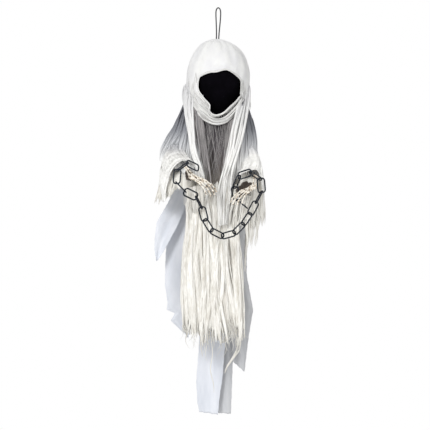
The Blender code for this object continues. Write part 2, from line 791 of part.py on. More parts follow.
loop_foot = -loop_height + 2 * fit_gap
loop_route = [
    (-0.0046, 0.0, loop_foot), (-0.0043, 0.0, -0.0560), (-0.0050, 0.0, -0.0340),
    (-loop_half_width, 0.0, -0.0140), (-0.0046, 0.0, -0.0030), (0.0, 0.0, loop_cord / 2),
    (0.0046, 0.0, -0.0030), (loop_half_width, 0.0, -0.0140), (0.0044, 0.0, -0.0340),
    (0.0022, 0.0, -0.0560), (0.0010, 0.0, loop_foot),
]

tube("hanging_loop", loop_route, loop_cord, 34, elastic)
make_head()
make_face_cloth()
make_hood()
make_cowl()
make_frame()
make_back_lining()
make_back_gauze()
make_front_lining()
make_front_gauze()
make_lapels()
make_sleeves()
make_strips()
make_hands()
make_chain()
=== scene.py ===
"""Hanging ghost figure: gauze hood over a black face, torn robe, skeleton hands and a plastic chain."""

import math
import random

import bmesh
import bpy
from mathutils import Matrix, Vector


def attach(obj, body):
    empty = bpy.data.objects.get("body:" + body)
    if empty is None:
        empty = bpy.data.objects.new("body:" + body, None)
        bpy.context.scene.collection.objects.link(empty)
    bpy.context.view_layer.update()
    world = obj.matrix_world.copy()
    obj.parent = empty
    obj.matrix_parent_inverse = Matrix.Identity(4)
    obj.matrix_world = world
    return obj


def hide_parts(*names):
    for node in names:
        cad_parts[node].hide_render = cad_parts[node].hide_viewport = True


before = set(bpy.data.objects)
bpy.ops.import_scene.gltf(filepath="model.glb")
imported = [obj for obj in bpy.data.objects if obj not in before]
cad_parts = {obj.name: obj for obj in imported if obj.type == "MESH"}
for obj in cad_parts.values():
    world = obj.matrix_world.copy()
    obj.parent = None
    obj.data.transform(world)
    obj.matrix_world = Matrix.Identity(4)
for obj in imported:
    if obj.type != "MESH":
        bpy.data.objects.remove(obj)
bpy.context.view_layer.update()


# Camera: straight in front of the figure and far away, so that it sees hardly any perspective.

view_centre = Vector((-0.0079, 0.0, -0.4958))
view_distance = 5.0
view_width = 1.032

camera_data = bpy.data.cameras.new("camera")
camera_data.sensor_width = 36.0
camera_data.lens = camera_data.sensor_width * view_distance / view_width
camera_data.clip_end = 50.0
camera = bpy.data.objects.new("camera", camera_data)
camera.location = view_centre + Vector((0.0, -view_distance, 0.0))
camera.rotation_euler = (math.pi / 2, 0.0, 0.0)
bpy.context.collection.objects.link(camera)
bpy.context.scene.camera = camera


# Hanging loop: one black elastic cord. Both ends go through the crown of the hood and are knotted
# inside it, and the whole figure hangs from the loop's top.

loop_cord = 0.003
loop_half_width = 0.0057
loop_foot = -0.0734
loop_points = 34
loop_route = [
    (-0.0046, 0.0, loop_foot), (-0.0043, 0.0, -0.056), (-0.005, 0.0, -0.034),
    (-loop_half_width, 0.0, -0.014), (-0.0046, 0.0, -0.003), (0.0, 0.0, loop_cord / 2),
    (0.0046, 0.0, -0.003), (loop_half_width, 0.0, -0.014), (0.0044, 0.0, -0.034),
    (0.0022, 0.0, -0.056), (0.001, 0.0, loop_foot),
]


def smooth_read(points, share):
    """Point at a share of the way along a smooth curve through the given points."""
    place = share * (len(points) - 1)
    index = min(int(place), len(points) - 2)
    t = place - index
    p1 = Vector(points[index])
    p2 = Vector(points[index + 1])
    p0 = Vector(points[index - 1]) if index > 0 else 2 * p1 - p2
    p3 = Vector(points[index + 2]) if index + 2 < len(points) else 2 * p2 - p1
    bend = 2 * p0 - 5 * p1 + 4 * p2 - p3
    twist = 3 * p1 - p0 - 3 * p2 + p3
    return 0.5 * (2 * p1 + (p2 - p0) * t + bend * t * t + twist * t * t * t)


def new_finish(name, roughness, sheen=0.0):
    """A material with its shader, node maker and link maker."""
    made = bpy.data.materials.new(name)
    made.use_nodes = True
    shader = made.node_tree.nodes["Principled BSDF"]
    shader.inputs["Roughness"].default_value = roughness
    shader.inputs["Sheen Weight"].default_value = sheen
    return made, shader, made.node_tree.nodes, made.node_tree.links


def stretched_noise(nodes, links, source, scales, detail=3.0):
    """Noise on the given coordinates, with its own scale along each of them."""
    mapping = nodes.new("ShaderNodeMapping")
    mapping.inputs["Scale"].default_value = scales
    links.new(source, mapping.inputs["Vector"])
    noise = nodes.new("ShaderNodeTexNoise")
    noise.inputs["Scale"].default_value = 1.0
    noise.inputs["Detail"].default_value = detail
    links.new(mapping.outputs["Vector"], noise.inputs["Vector"])
    return noise.outputs["Fac"]


def coloured_by(nodes, links, factor, stops, socket):
    """Colour a socket by a factor through a ramp of (position, colour) stops."""
    ramp = nodes.new("ShaderNodeValToRGB")
    for index, (position, colour) in enumerate(stops):
        stop = ramp.color_ramp.elements[index] if index < 2 else ramp.color_ramp.elements.new(position)
        stop.position = position
        stop.color = (*colour, 1.0)
    links.new(factor, ramp.inputs["Fac"])
    links.new(ramp.outputs["Color"], socket)


def raised_by(nodes, links, height, distance, shader, strength=1.0, below=None):
    """Bump a shader by a height, on top of another bump if one is given."""
    bump = nodes.new("ShaderNodeBump")
    bump.inputs["Distance"].default_value = distance
    bump.inputs["Strength"].default_value = strength
    links.new(height, bump.inputs["Height"])
    if below is not None:
        links.new(below, bump.inputs["Normal"])
    links.new(bump.outputs["Normal"], shader.inputs["Normal"])
    return bump.outputs["Normal"]


elastic, shader, nodes, links = new_finish("braided_elastic", 0.75, 0.2)
place_on = nodes.new("ShaderNodeTexCoord").outputs["Object"]
coloured_by(
    nodes, links, stretched_noise(nodes, links, place_on, (500, 500, 900)),
    [(0.3, (0.008, 0.008, 0.009)), (0.7, (0.035, 0.035, 0.038))], shader.inputs["Base Color"],
)
raised_by(nodes, links, stretched_noise(nodes, links, place_on, (900, 900, 1400)), 0.0004, shader)

loop_curve = bpy.data.curves.new("elastic_loop", "CURVE")
loop_curve.dimensions = "3D"
loop_curve.bevel_depth = loop_cord / 2
loop_curve.bevel_resolution = 4
loop_curve.use_fill_caps = True
loop_line = loop_curve.splines.new("POLY")
loop_line.points.add(loop_points - 1)
for index, point in enumerate(loop_line.points):
    point.co = (*smooth_read(loop_route, index / (loop_points - 1)), 1.0)
loop_line.use_smooth = True
elastic_loop = bpy.data.objects.new("elastic_loop", loop_curve)
elastic_loop.data.materials.append(elastic)
bpy.context.collection.objects.link(elastic_loop)
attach(elastic_loop, "root")
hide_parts("hanging_loop")


# Studio: white world behind, a pale floor below the figure, and large soft lamps in front.

floor_radius = 2.2
floor_height = -1.3
light_from_around = 0.52

world = bpy.data.worlds.new("studio")
world.use_nodes = True
bpy.context.scene.world = world
nodes = world.node_tree.nodes
links = world.node_tree.links
background = nodes["Background"]
seen = nodes.new("ShaderNodeLightPath")
seen_directly = nodes.new("ShaderNodeMath")
seen_directly.operation = "MAXIMUM"
links.new(seen.outputs["Is Camera Ray"], seen_directly.inputs[0])
links.new(seen.outputs["Is Transmission Ray"], seen_directly.inputs[1])
shows_white = nodes.new("ShaderNodeMath")
shows_white.operation = "MAXIMUM"
links.new(seen_directly.outputs[0], shows_white.inputs[0])
links.new(seen.outputs["Is Glossy Ray"], shows_white.inputs[1])
level = nodes.new("ShaderNodeMapRange")
level.inputs["To Min"].default_value = light_from_around
level.inputs["To Max"].default_value = 1.0
links.new(shows_white.outputs[0], level.inputs["Value"])
background.inputs["Color"].default_value = (1.0, 1.0, 1.0, 1.0)
links.new(level.outputs["Result"], background.inputs["Strength"])

floor_bm = bmesh.new()
bmesh.ops.create_circle(floor_bm, cap_ends=True, radius=floor_radius, segments=96)
bmesh.ops.translate(floor_bm, vec=(0.0, 0.0, floor_height), verts=floor_bm.verts)
floor_mesh = bpy.data.meshes.new("floor")
floor_bm.to_mesh(floor_mesh)
floor_bm.free()
floor = bpy.data.objects.new("floor", floor_mesh)
floor_paint, shader, nodes, links = new_finish("floor_paint", 0.9)
place_on = nodes.new("ShaderNodeTexCoord").outputs["Object"]
coloured_by(
    nodes, links, stretched_noise(nodes, links, place_on, (3, 3, 3)),
    [(0.3, (0.86, 0.86, 0.86)), (0.7, (0.9, 0.9, 0.9))], shader.inputs["Base Color"],
)
floor_mesh.materials.append(floor_paint)
bpy.context.collection.objects.link(floor)


def lamp(name, place, target, size, power):
    """A square soft lamp that faces a point of the figure."""
    data = bpy.data.lights.new(name, "AREA")
    data.size = size
    data.energy = power
    made = bpy.data.objects.new(name, data)
    made.location = place
    aim = Vector(target) - Vector(place)
    made.rotation_euler = aim.to_track_quat("-Z", "Y").to_euler()
    bpy.context.collection.objects.link(made)


lamp("key_lamp", (-1.3, -2.2, 0.9), (0.0, 0.0, -0.45), 0.8, 46.0)
lamp("fill_lamp", (1.8, -2.2, -0.1), (0.0, 0.0, -0.5), 1.4, 17.0)
lamp("back_lamp", (0.6, 2.4, 0.8), (0.0, 0.0, -0.4), 1.4, 16.0)


# Head: a foam egg on a post, under a black cloth that makes the empty face. The cloth is a stretched
# sock, tied off below the chin, and only its front shows through the hood's opening.

head_centre = Vector((0.0, 0.0, -0.1632))
head_half = Vector((0.0695, 0.068, 0.085))
face_cloth_offset = 0.0009


def dress(node, material):
    """Give a CAD node its material."""
    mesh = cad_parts[node].data
    mesh.materials.clear()
    mesh.materials.append(material)


def add_piece(name, bm, material):
    """Link a finished bmesh as one piece of the figure."""
    mesh = bpy.data.meshes.new(name)
    bm.to_mesh(mesh)
    bm.free()
    mesh.shade_smooth()
    mesh.materials.append(material)
    made = bpy.data.objects.new(name, mesh)
    bpy.context.collection.objects.link(made)
    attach(made, "root")
    return made


def add_cloth(name, bm, material, cloth_thickness):
    """Link a finished bmesh as one piece of cloth and give it a thickness."""
    made = add_piece(name, bm, material)
    made.modifiers.new("thickness", "SOLIDIFY").thickness = cloth_thickness
    return made


foam, shader, nodes, links = new_finish("moulded_foam", 0.85)
place_on = nodes.new("ShaderNodeTexCoord").outputs["Object"]
beads = nodes.new("ShaderNodeTexVoronoi")
beads.inputs["Scale"].default_value = 350.0
links.new(place_on, beads.inputs["Vector"])
coloured_by(
    nodes, links, beads.outputs["Distance"],
    [(0.2, (0.84, 0.84, 0.82)), (0.8, (0.74, 0.74, 0.72))], shader.inputs["Base Color"],
)
raised_by(nodes, links, beads.outputs["Distance"], -0.0006, shader)
dress("head_form", foam)

face_black, shader, nodes, links = new_finish("black_knit", 1.0)
shader.inputs["Specular IOR Level"].default_value = 0.05
place_on = nodes.new("ShaderNodeTexCoord").outputs["Object"]
coloured_by(
    nodes, links, stretched_noise(nodes, links, place_on, (60, 60, 60)),
    [(0.3, (0.0008, 0.0006, 0.0012)), (0.75, (0.0024, 0.0018, 0.0034))], shader.inputs["Base Color"],
)
raised_by(nodes, links, stretched_noise(nodes, links, place_on, (700, 700, 900)), 0.0003, shader)

bm = bmesh.new()
bmesh.ops.create_uvsphere(bm, u_segments=72, v_segments=48, radius=1.0)
grown = head_half + Vector((face_cloth_offset,) * 3)
bmesh.ops.scale(bm, vec=grown, verts=bm.verts)
bmesh.ops.translate(bm, vec=head_centre, verts=bm.verts)
tie_radius = 0.034
for vert in bm.verts:
    below = min(1.0, max(0.0, (head_centre.z - 0.45 * head_half.z - vert.co.z) / (0.56 * head_half.z)))
    around = Vector((vert.co.x, vert.co.y, 0.0))
    if below > 0 and around.length > 0.0002:
        around = around.normalized() * max(around.length, tie_radius)
    vert.co.x = around.x
    vert.co.y = around.y
    vert.co.z -= 0.03 * below ** 3
open_below = head_centre.z - head_half.z - 0.0285
bmesh.ops.delete(bm, geom=[vert for vert in bm.verts if vert.co.z < open_below], context="VERTS")
face_cover = add_cloth("face_cover", bm, face_black, 0.001)
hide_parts("face_cloth")


# Hood: white gauze laid in layers over the crown and sewn behind. It fits the head closely above and
# falls straight at the sides, and a torn hole with a rolled, fraying edge frames the face.

hood_drop = 0.076
hood_hem = head_centre.z - hood_drop
hood_gap = 0.0012
left_outline = [
    (head_centre.z, -0.0757), (-0.2, -0.0785), (hood_hem, -0.084), (-0.281, -0.102),
    (-0.32, -0.13), (-0.345, -0.139), (-0.38, -0.137), (-0.43, -0.129), (-0.65, -0.12),
]
right_outline = [
    (head_centre.z, 0.0757), (hood_hem, 0.0757), (-0.281, 0.085), (-0.345, 0.092),
    (-0.373, 0.099), (-0.43, 0.104), (-0.65, 0.09),
]
back_outline = [
    (head_centre.z, 0.0742), (hood_hem, 0.078), (-0.32, 0.07), (-0.43, 0.056), (-0.65, 0.048),
]
front_reach = 0.0742


def value_at(table, height):
    """Value of an outline, a list of (height, value) from the top down, at one height."""
    if height >= table[0][0]:
        return table[0][1]
    for (upper, first), (lower, second) in zip(table, table[1:]):
        if height >= lower:
            t = (upper - height) / (upper - lower)
            return first + (second - first) * (0.5 * t + 0.5 * t * t * (3 - 2 * t))
    return table[-1][1]


def shell_point(angle, height, inset):
    """Point of a cloth layer that lies the inset inside the outline, at an angle from +X."""
    side = value_at(right_outline, height) if math.cos(angle) > 0 else -value_at(left_outline, height)
    depth = value_at(back_outline, height) if math.sin(angle) > 0 else front_reach
    return Vector(((side - inset) * math.cos(angle), (depth - inset) * math.sin(angle), height))


def ease(value, low, high):
    """0 below low, 1 above high and smooth between."""
    t = min(1.0, max(0.0, (value - low) / (high - low)))
    return t * t * (3 - 2 * t)


def gauze_finish(name, hollow_shade, ridge, bundle_scale=(150.0, 9.0, 1.0), thread_scale=(1100.0, 60.0, 1.0)):
    """Cotton gauze whose threads run along V: painted shade darkens the hollows between bundles, ridges are
    pale.
    """
    made, shader, nodes, links = new_finish(name, 0.95, 0.25)
    shader.inputs["Specular IOR Level"].default_value = 0.2
    along = nodes.new("ShaderNodeUVMap")
    along.uv_map = "cut"
    bundles = stretched_noise(nodes, links, along.outputs["UV"], bundle_scale, 2.0)
    threads = stretched_noise(nodes, links, along.outputs["UV"], thread_scale, 2.0)
    both = nodes.new("ShaderNodeMix")
    both.inputs["Factor"].default_value = 0.45
    links.new(bundles, both.inputs["A"])
    links.new(threads, both.inputs["B"])
    middle = tuple((a + b) / 2 for a, b in zip(hollow_shade, ridge))
    # Painted shade: the colour follows the same noise as the bump, so the hollows between bundles are
    # darker.
    coloured_by(
        nodes, links, both.outputs["Result"],
        [(0.36, hollow_shade), (0.6, ridge), (0.47, middle)], shader.inputs["Base Color"],
    )
    below = raised_by(nodes, links, bundles, 0.003, shader, 0.7)
    raised_by(nodes, links, threads, 0.0007, shader, 0.9, below)
    return made


def lay_grid(bm, columns, rows, cut, place):
    """Add a grid of cloth: place(s, t) gives each point, and the UV map holds the flat cut in metres."""
    cut_map = bm.loops.layers.uv.get("cut") or bm.loops.layers.uv.new("cut")
    verts = bmesh.ops.create_grid(bm, x_segments=columns, y_segments=rows, size=0.5)["verts"]
    for face in {face for vert in verts for face in vert.link_faces}:
        for loop in face.loops:
            flat = loop.vert.co
            loop[cut_map].uv = ((flat.x + 0.5) * cut[0] + cut[2], (flat.y + 0.5) * cut[1])
    for vert in verts:
        vert.co = place(vert.co.x + 0.5, 0.5 - vert.co.y)


def lay_thread(bm, path, radius, rings, sides=5, facing=(0.0, -1.0, 0.0), flatness=1.0, shift=0.0):
    """Add one round or flattened bundle of thread along path(t), with radius(t) at each share t."""
    centres = [path(row / rings) for row in range(rings + 1)]
    frames = []
    length = 0.0
    for row in range(rings + 1):
        ahead = (centres[min(row + 1, rings)] - centres[max(row - 1, 0)]).normalized()
        side = ahead.cross(Vector(facing)).normalized()
        frames.append((side, side.cross(ahead)))
        if row:
            length += (centres[row] - centres[row - 1]).length

    def place(s, t):
        row = round(t * rings)
        side, out = frames[row]
        angle = math.tau * s
        reach = radius(t)
        return centres[row] + side * (math.cos(angle) * reach) + out * (math.sin(angle) * reach * flatness)

    lay_grid(bm, sides, rings, (0.01, length, shift), place)


def close_threads(bm):
    """Join each bundle's seam and tips, and turn its faces outwards."""
    bmesh.ops.remove_doubles(bm, verts=bm.verts, dist=0.000002)
    bmesh.ops.recalc_face_normals(bm, faces=bm.faces)


def tapered(width, start=0.06, end=0.22):
    """Radius of a bundle that is pointed at both ends."""
    def radius(t):
        return width * min(1.0, t / start) ** 0.5 * min(1.0, (1.0 - t) / end) ** 0.6
    return radius


hood_white, shader, nodes, links = new_finish("hood_gauze", 0.95, 0.3)
shader.inputs["Specular IOR Level"].default_value = 0.2
place_on = nodes.new("ShaderNodeTexCoord").outputs["Object"]
cloudy = stretched_noise(nodes, links, place_on, (30, 30, 16), 4.0)
# Painted shade: the same noise raises the cloth, and the colour is greyer in its dips.
coloured_by(
    nodes, links, cloudy,
    [(0.35, (0.82, 0.82, 0.83)), (0.65, (0.91, 0.91, 0.89))], shader.inputs["Base Color"],
)
below = raised_by(nodes, links, cloudy, 0.006, shader, 0.5)
for turned in (0.0, math.pi / 2):
    weave = nodes.new("ShaderNodeTexWave")
    weave.bands_direction = "DIAGONAL"
    weave.inputs["Scale"].default_value = 260.0
    weave.inputs["Distortion"].default_value = 3.0
    lie = nodes.new("ShaderNodeMapping")
    lie.inputs["Rotation"].default_value = (0.0, turned, 0.0)
    links.new(place_on, lie.inputs["Vector"])
    links.new(lie.outputs["Vector"], weave.inputs["Vector"])
    below = raised_by(nodes, links, weave.outputs["Fac"], 0.0005, shader, 0.6, below)

face_edge = [
    (-0.0485, -0.1898), (-0.047, -0.1728), (-0.041, -0.1661), (-0.0211, -0.1582), (-0.0041, -0.157),
    (0.0156, -0.1519), (0.0278, -0.155), (0.0463, -0.1673), (0.0535, -0.1774), (0.054, -0.2002),
    (0.053, -0.2126), (0.0526, -0.239), (-0.0334, -0.239), (-0.0343, -0.2186), (-0.0458, -0.2035),
]


def hood_surface(angle, level):
    """Point of the hood: level runs from 1 at the crown over 0 at the brow to -1 at the hem."""
    if level >= 0:
        flat = math.cos(level * math.pi / 2)
        rim = shell_point(angle, head_centre.z, hood_gap)
        height = head_centre.z + (head_half.z + 0.003) * math.sin(level * math.pi / 2)
        point = Vector((rim.x * flat, rim.y * flat, height))
        point.x -= 0.006 * math.sin(level * math.pi / 2) ** 6
    else:
        point = shell_point(angle, head_centre.z + hood_drop * level, hood_gap)
    out = Vector((point.x, point.y, max(0.0, point.z - head_centre.z))).normalized()
    wrinkle = 0.0008 * math.sin(9 * angle + 5 * level) + 0.0006 * math.sin(17 * angle - 7 * level)
    folds = 0.0022 * math.sin(21 * angle + 3 * level) * ease(-level, 0.1, 0.9)
    brow = 0.0016 * math.exp(-((point.z + 0.139 + 1.2 * point.x * point.x * 8) / 0.0045) ** 2)
    brow *= ease(0.05 - abs(point.x), 0.0, 0.03) * (1.0 if point.y < 0 else 0.0)
    return point + out * (wrinkle + folds - brow)


bm = bmesh.new()
bmesh.ops.create_uvsphere(bm, u_segments=144, v_segments=64, radius=1.0)
bmesh.ops.delete(bm, geom=[vert for vert in bm.verts if vert.co.z < -0.9999], context="VERTS")
for vert in bm.verts:
    angle = math.atan2(vert.co.y, vert.co.x)
    vert.co = hood_surface(angle, math.asin(max(-1.0, min(1.0, vert.co.z))) * 2 / math.pi)
hood = add_piece("hood_shell", bm, hood_white)
hood_cutter = bmesh.new()
opening = []
ragged = random.Random(3)
for first, second in zip(face_edge, face_edge[1:] + face_edge[:1]):
    for step in range(3):
        spot = Vector(first).lerp(Vector(second), step / 3)
        opening.append(spot + Vector((ragged.uniform(-0.0006, 0.0006), ragged.uniform(-0.0006, 0.0006))))
near = [hood_cutter.verts.new((x, -0.12, z)) for x, z in opening]
grown = bmesh.ops.extrude_face_region(hood_cutter, geom=[hood_cutter.faces.new(near)])
far = [item for item in grown["geom"] if isinstance(item, bmesh.types.BMVert)]
bmesh.ops.translate(hood_cutter, vec=(0.0, 0.11, 0.0), verts=far)
bmesh.ops.recalc_face_normals(hood_cutter, faces=hood_cutter.faces)
cutter_mesh = bpy.data.meshes.new("hood_cutter")
hood_cutter.to_mesh(cutter_mesh)
hood_cutter.free()
cutter = bpy.data.objects.new("hood_cutter", cutter_mesh)
bpy.context.collection.objects.link(cutter)
thickness = hood.modifiers.new("thickness", "SOLIDIFY")
thickness.thickness = 0.0016
thickness.offset = 0.0
cut = hood.modifiers.new("opening", "BOOLEAN")
cut.object = cutter
cut.operation = "DIFFERENCE"
cut.solver = "EXACT"
bpy.context.view_layer.update()
finished = bpy.data.meshes.new_from_object(hood.evaluated_get(bpy.context.evaluated_depsgraph_get()))
hood.modifiers.clear()
hood.data = finished
hood.data.set_sharp_from_angle(angle=math.radians(60))
bpy.data.objects.remove(cutter)
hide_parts("hood")


def on_hood(x, z, lift):
    """Point on the front of the hood straight ahead of a place in the opening's plane."""
    side = value_at(right_outline, z) if x > 0 else -value_at(left_outline, z)
    across = min(0.999, abs(x) / (side - hood_gap))
    rise = max(0.0, (z - head_centre.z) / (head_half.z + 0.003))
    depth = (front_reach - hood_gap) * math.sqrt(max(0.02, 1.0 - across * across - rise * rise))
    return Vector((x, -depth - lift, z))


white_gauze = gauze_finish("white_gauze", (0.44, 0.43, 0.42), (0.92, 0.92, 0.9))
bm = bmesh.new()
rim_line = [face_edge[index] for index in (13, 14, 0, 1, 2, 3, 4, 5, 6, 7, 8, 9, 10)]
for turn, (width, lift) in enumerate(((0.0016, 0.001), (0.0011, 0.002), (0.0008, 0.0014))):
    def rim_path(t):
        spot = smooth_read([(x, z, 0.0) for x, z in rim_line], t)
        wave = 0.0006 * math.sin(31 * t + 2 * turn)
        return on_hood(spot.x + wave, spot.y + 0.0012 * turn, lift)
    lay_thread(bm, rim_path, tapered(width, 0.02, 0.03), 72, 6, shift=0.013 * turn)
close_threads(bm)
add_piece("hood_rim", bm, white_gauze)


# Frame: the neck post stands in the head and one bent wire carries both arms. Both are painted metal
# and hidden by the cloth.

painted, shader, nodes, links = new_finish("painted_wire", 0.45)
place_on = nodes.new("ShaderNodeTexCoord").outputs["Object"]
worn = stretched_noise(nodes, links, place_on, (120, 120, 120))
coloured_by(
    nodes, links, worn, [(0.35, (0.05, 0.05, 0.05)), (0.7, (0.11, 0.11, 0.11))], shader.inputs["Base Color"],
)
raised_by(nodes, links, worn, 0.0003, shader)
dress("neck_post", painted)
dress("arm_wire", painted)


# Linings: thin dark gauze behind everything. One length goes round the back and the shoulders, and
# another hangs from the chin between the arms and shows as the dark V.

def faded_finish(name, top, bottom, stops, bundles=(120.0, 12.0, 1.0), threads=(900.0, 50.0, 1.0)):
    """Gauze whose colour changes from the top to the bottom level, as less dark cloth shows through it."""
    made = gauze_finish(name, (0.1, 0.1, 0.1), (0.2, 0.2, 0.2), bundles, threads)
    nodes = made.node_tree.nodes
    links = made.node_tree.links
    ramp = next(node for node in nodes if node.type == "VALTORGB")
    streaks = ramp.inputs["Fac"].links[0].from_socket
    parts = nodes.new("ShaderNodeSeparateXYZ")
    links.new(nodes.new("ShaderNodeTexCoord").outputs["Object"], parts.inputs[0])
    fade = nodes.new("ShaderNodeMapRange")
    fade.inputs["From Min"].default_value = top
    fade.inputs["From Max"].default_value = bottom
    fade.inputs["To Min"].default_value = -0.2
    fade.inputs["To Max"].default_value = 0.8
    links.new(parts.outputs["Z"], fade.inputs["Value"])
    # The streaks add painted shade: the hollows between bundles come out darker in this ramp.
    spread = nodes.new("ShaderNodeMath")
    spread.operation = "MULTIPLY_ADD"
    spread.inputs[1].default_value = 0.4
    links.new(streaks, spread.inputs[0])
    links.new(fade.outputs["Result"], spread.inputs[2])
    nodes.remove(ramp)
    coloured_by(nodes, links, spread.outputs[0], stops, nodes["Principled BSDF"].inputs["Base Color"])
    return made


grey_gauze = faded_finish("grey_gauze", -0.26, -0.46, [
    (0.0, (0.135, 0.12, 0.135)), (1.0, (0.5, 0.45, 0.39)),
    (0.35, (0.175, 0.158, 0.168)), (0.65, (0.25, 0.225, 0.21)),
], (42.0, 20.0, 1.0), (380.0, 170.0, 1.0))
shoulder_gauze = faded_finish("shoulder_gauze", -0.25, -0.37, [
    (0.0, (0.13, 0.13, 0.15)), (1.0, (0.9, 0.9, 0.89)),
    (0.35, (0.3, 0.31, 0.34)), (0.65, (0.62, 0.63, 0.65)),
])
lining_inset = 0.0036


def lining_place(s, t):
    """Back lining: from the right side round the back to the left side, and from the head down."""
    angle = math.radians(-26 + 232 * s)
    hem = -0.332 - 0.098 * ease(math.sin(angle), 0.05, 0.45)
    height = head_centre.z + 0.01 + (hem - head_centre.z - 0.01) * t
    point = shell_point(angle, height, lining_inset)
    fall = ease(-height, -hood_hem, 0.34)
    out = Vector((point.x, point.y, 0.0)).normalized()
    return point + out * fall * (0.003 * math.sin(60 * s + 4 * t) + 0.0015 * math.sin(133 * s - 6 * t))


bm = bmesh.new()
lay_grid(bm, 180, 48, (0.5, 0.27, 0.0), lining_place)
back_lining = add_cloth("shoulder_lining", bm, shoulder_gauze, 0.0008)
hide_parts("back_lining")


def chest_place(s, t):
    """Front lining: narrows downwards between the sleeves."""
    height = -0.256 - 0.2 * t
    half = 0.07 - 0.03 * ease(t, 0.1, 0.9)
    x = -0.001 + half * (2 * s - 1) + 0.003 * math.sin(9 * t + 5 * s)
    folds = 0.0014 * math.sin(15 * s + 4 * math.sin(4 * t + 3 * s)) + 0.0007 * math.sin(37 * s - 19 * t)
    across = abs(2 * s - 1)
    depth = -0.0112 - 0.03 * ease(-height, 0.28, 0.45)
    return Vector((x, depth - 0.012 - folds + 0.012 * across * across, height))


bm = bmesh.new()
lay_grid(bm, 120, 60, (0.16, 0.2, 0.0), chest_place)
front_lining = add_cloth("chest_lining", bm, grey_gauze, 0.0008)
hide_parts("front_lining")


# Cowl: the end of the hood's gauze, gathered at the left of the face, slung under the chin and
# gathered again at the right. A thin rolled edge frames the face and a fuller roll hangs below it.

def tenths(*points):
    """Points given in tenths of a millimetre, in metres."""
    return [tuple(number / 10000 for number in point) for point in points]


upper_edge = tenths(
    (-511, -520, -1958), (-415, -580, -2102), (-307, -640, -2234), (-204, -690, -2357),
    (-214, -730, -2486), (-115, -755, -2582), (29, -755, -2582), (161, -735, -2515), (281, -690, -2400),
    (425, -620, -2266), (557, -500, -2090),
)
lower_edge = tenths(
    (-667, -480, -2270), (-547, -560, -2474), (-415, -620, -2630), (-271, -660, -2738),
    (-127, -680, -2796), (17, -680, -2803), (185, -660, -2750), (341, -620, -2618), (485, -560, -2426),
    (605, -480, -2198),
)


def cowl_place(s, t):
    """The slung gauze: s from left to right, t from the face's edge to the bottom of the roll."""
    point = smooth_read(upper_edge, s).lerp(smooth_read(lower_edge, s), t)
    bulge = math.sin(math.pi * min(1.0, t * 1.05)) * (1 - 0.4 * t)
    middle = math.sin(math.pi * s)
    gathers = 0.0032 * math.sin(24 * t + 2.5 * math.sin(3 * s)) + 0.0018 * math.sin(51 * t + 6 * s)
    recess = 0.012 * math.exp(-((t - 0.3) / 0.16) ** 2) * ease(s, 0.4, 0.55) * (1 - ease(s, 0.93, 1.0))
    point.y -= 0.008 * bulge * (0.4 + 0.6 * middle) + gathers * (0.5 + 0.5 * middle) - recess
    return point


bm = bmesh.new()
lay_grid(bm, 90, 48, (0.24, 0.06, 0.0), cowl_place)
cut_map = bm.loops.layers.uv["cut"]
slit = []
for face in bm.faces:
    share = sum(loop[cut_map].uv.x for loop in face.loops) / len(face.loops) / 0.24
    level = 1.0 - sum(loop[cut_map].uv.y for loop in face.loops) / len(face.loops) / 0.06
    opens = ease(share, 0.5, 0.62) * (1 - ease(share, 0.68, 0.82))
    if abs(level - 0.27) < 0.12 * opens:
        slit.append(face)
bmesh.ops.delete(bm, geom=slit, context="FACES")
cowl = add_cloth("cowl_gauze", bm, white_gauze, 0.0012)
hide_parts("cowl")


neck_route = tenths(
    (-640, -300, -2310), (-620, 100, -2300), (-480, 400, -2340), (0, 590, -2380), (480, 400, -2340),
    (600, 100, -2300), (620, -300, -2310),
)


def behind_neck(t):
    """The gauze roll that closes the cowl behind the neck."""
    return smooth_read(neck_route, t)


bm = bmesh.new()
drawn = random.Random(11)
lay_thread(bm, behind_neck, lambda t: 0.0065, 40, 12, facing=(0.0, 0.0, 1.0))
for index in range(30):
    level = (index + 0.5) / 30
    lift = drawn.uniform(0.0, 0.004)
    swing = drawn.uniform(-0.05, 0.05)
    tilt = drawn.uniform(-0.1, 0.1)
    if 0.08 < level < 0.46:
        span = (0.0, 0.5)
    else:
        span = (0.0, 1.0)

    def cowl_thread(t):
        share = span[0] + (span[1] - span[0]) * t
        height = level + swing * math.sin(5 * share + 9 * level) + tilt * (share - 0.5)
        point = cowl_place(share, min(1.0, max(0.0, height)))
        return point + Vector((0.0, -lift, 0.0))

    width = drawn.choice((0.0005, 0.0008, 0.0012, 0.0018, 0.0026))
    lay_thread(bm, cowl_thread, tapered(width, 0.05, 0.05), 36, 5, shift=0.017 * index)
close_threads(bm)
add_piece("cowl_threads", bm, white_gauze)


# Sleeves: gauze draped over the forearms of the wire like small tents, open below, where the hands
# come out. The threads run with the arm and round the cuff.

left_arm = tenths((-640, 40, -2980), (-900, -360, -3220), (-1000, -720, -3480), (-800, -930, -3780))
right_arm = tenths((560, 40, -2980), (740, -370, -3280), (920, -680, -3680), (880, -920, -4000))


def sleeve_place(arm, side, reach_out, reach_in, drop_out, drop_in):
    """Surface of a sleeve: s from the outer hem over the wire to the inner hem, t from shoulder to cuff."""
    def place(s, t):
        ridge = smooth_read(arm, 0.1 + 0.87 * t)
        across = 2 * s - 1
        turn = math.sin(across * math.pi / 2)
        if across < 0:
            reach = (reach_out[0] + (reach_out[1] - reach_out[0]) * t) * turn
            drop = drop_out[0] + (drop_out[1] - drop_out[0]) * t
        else:
            reach = (reach_in[0] + (reach_in[1] - reach_in[0]) * t) * turn
            drop = drop_in[0] + (drop_in[1] - drop_in[0]) * t
        away = abs(across)
        ripple = 0.0028 * math.sin(34 * s + 6 * t) + 0.0016 * math.sin(81 * s - 5 * t)
        ripple += 0.002 * math.sin(23 * t + 7 * s)
        ragged_hem = 0.1 * math.sin(19 * t + 3 * side) * away ** 3
        point = ridge + Vector((side * -reach, 0.0, 0.0075 - drop * away ** 1.8 * (1 + ragged_hem)))
        point.y += 0.018 * away * away * (1 if across > 0 else 0.55) - ripple
        return point
    return place


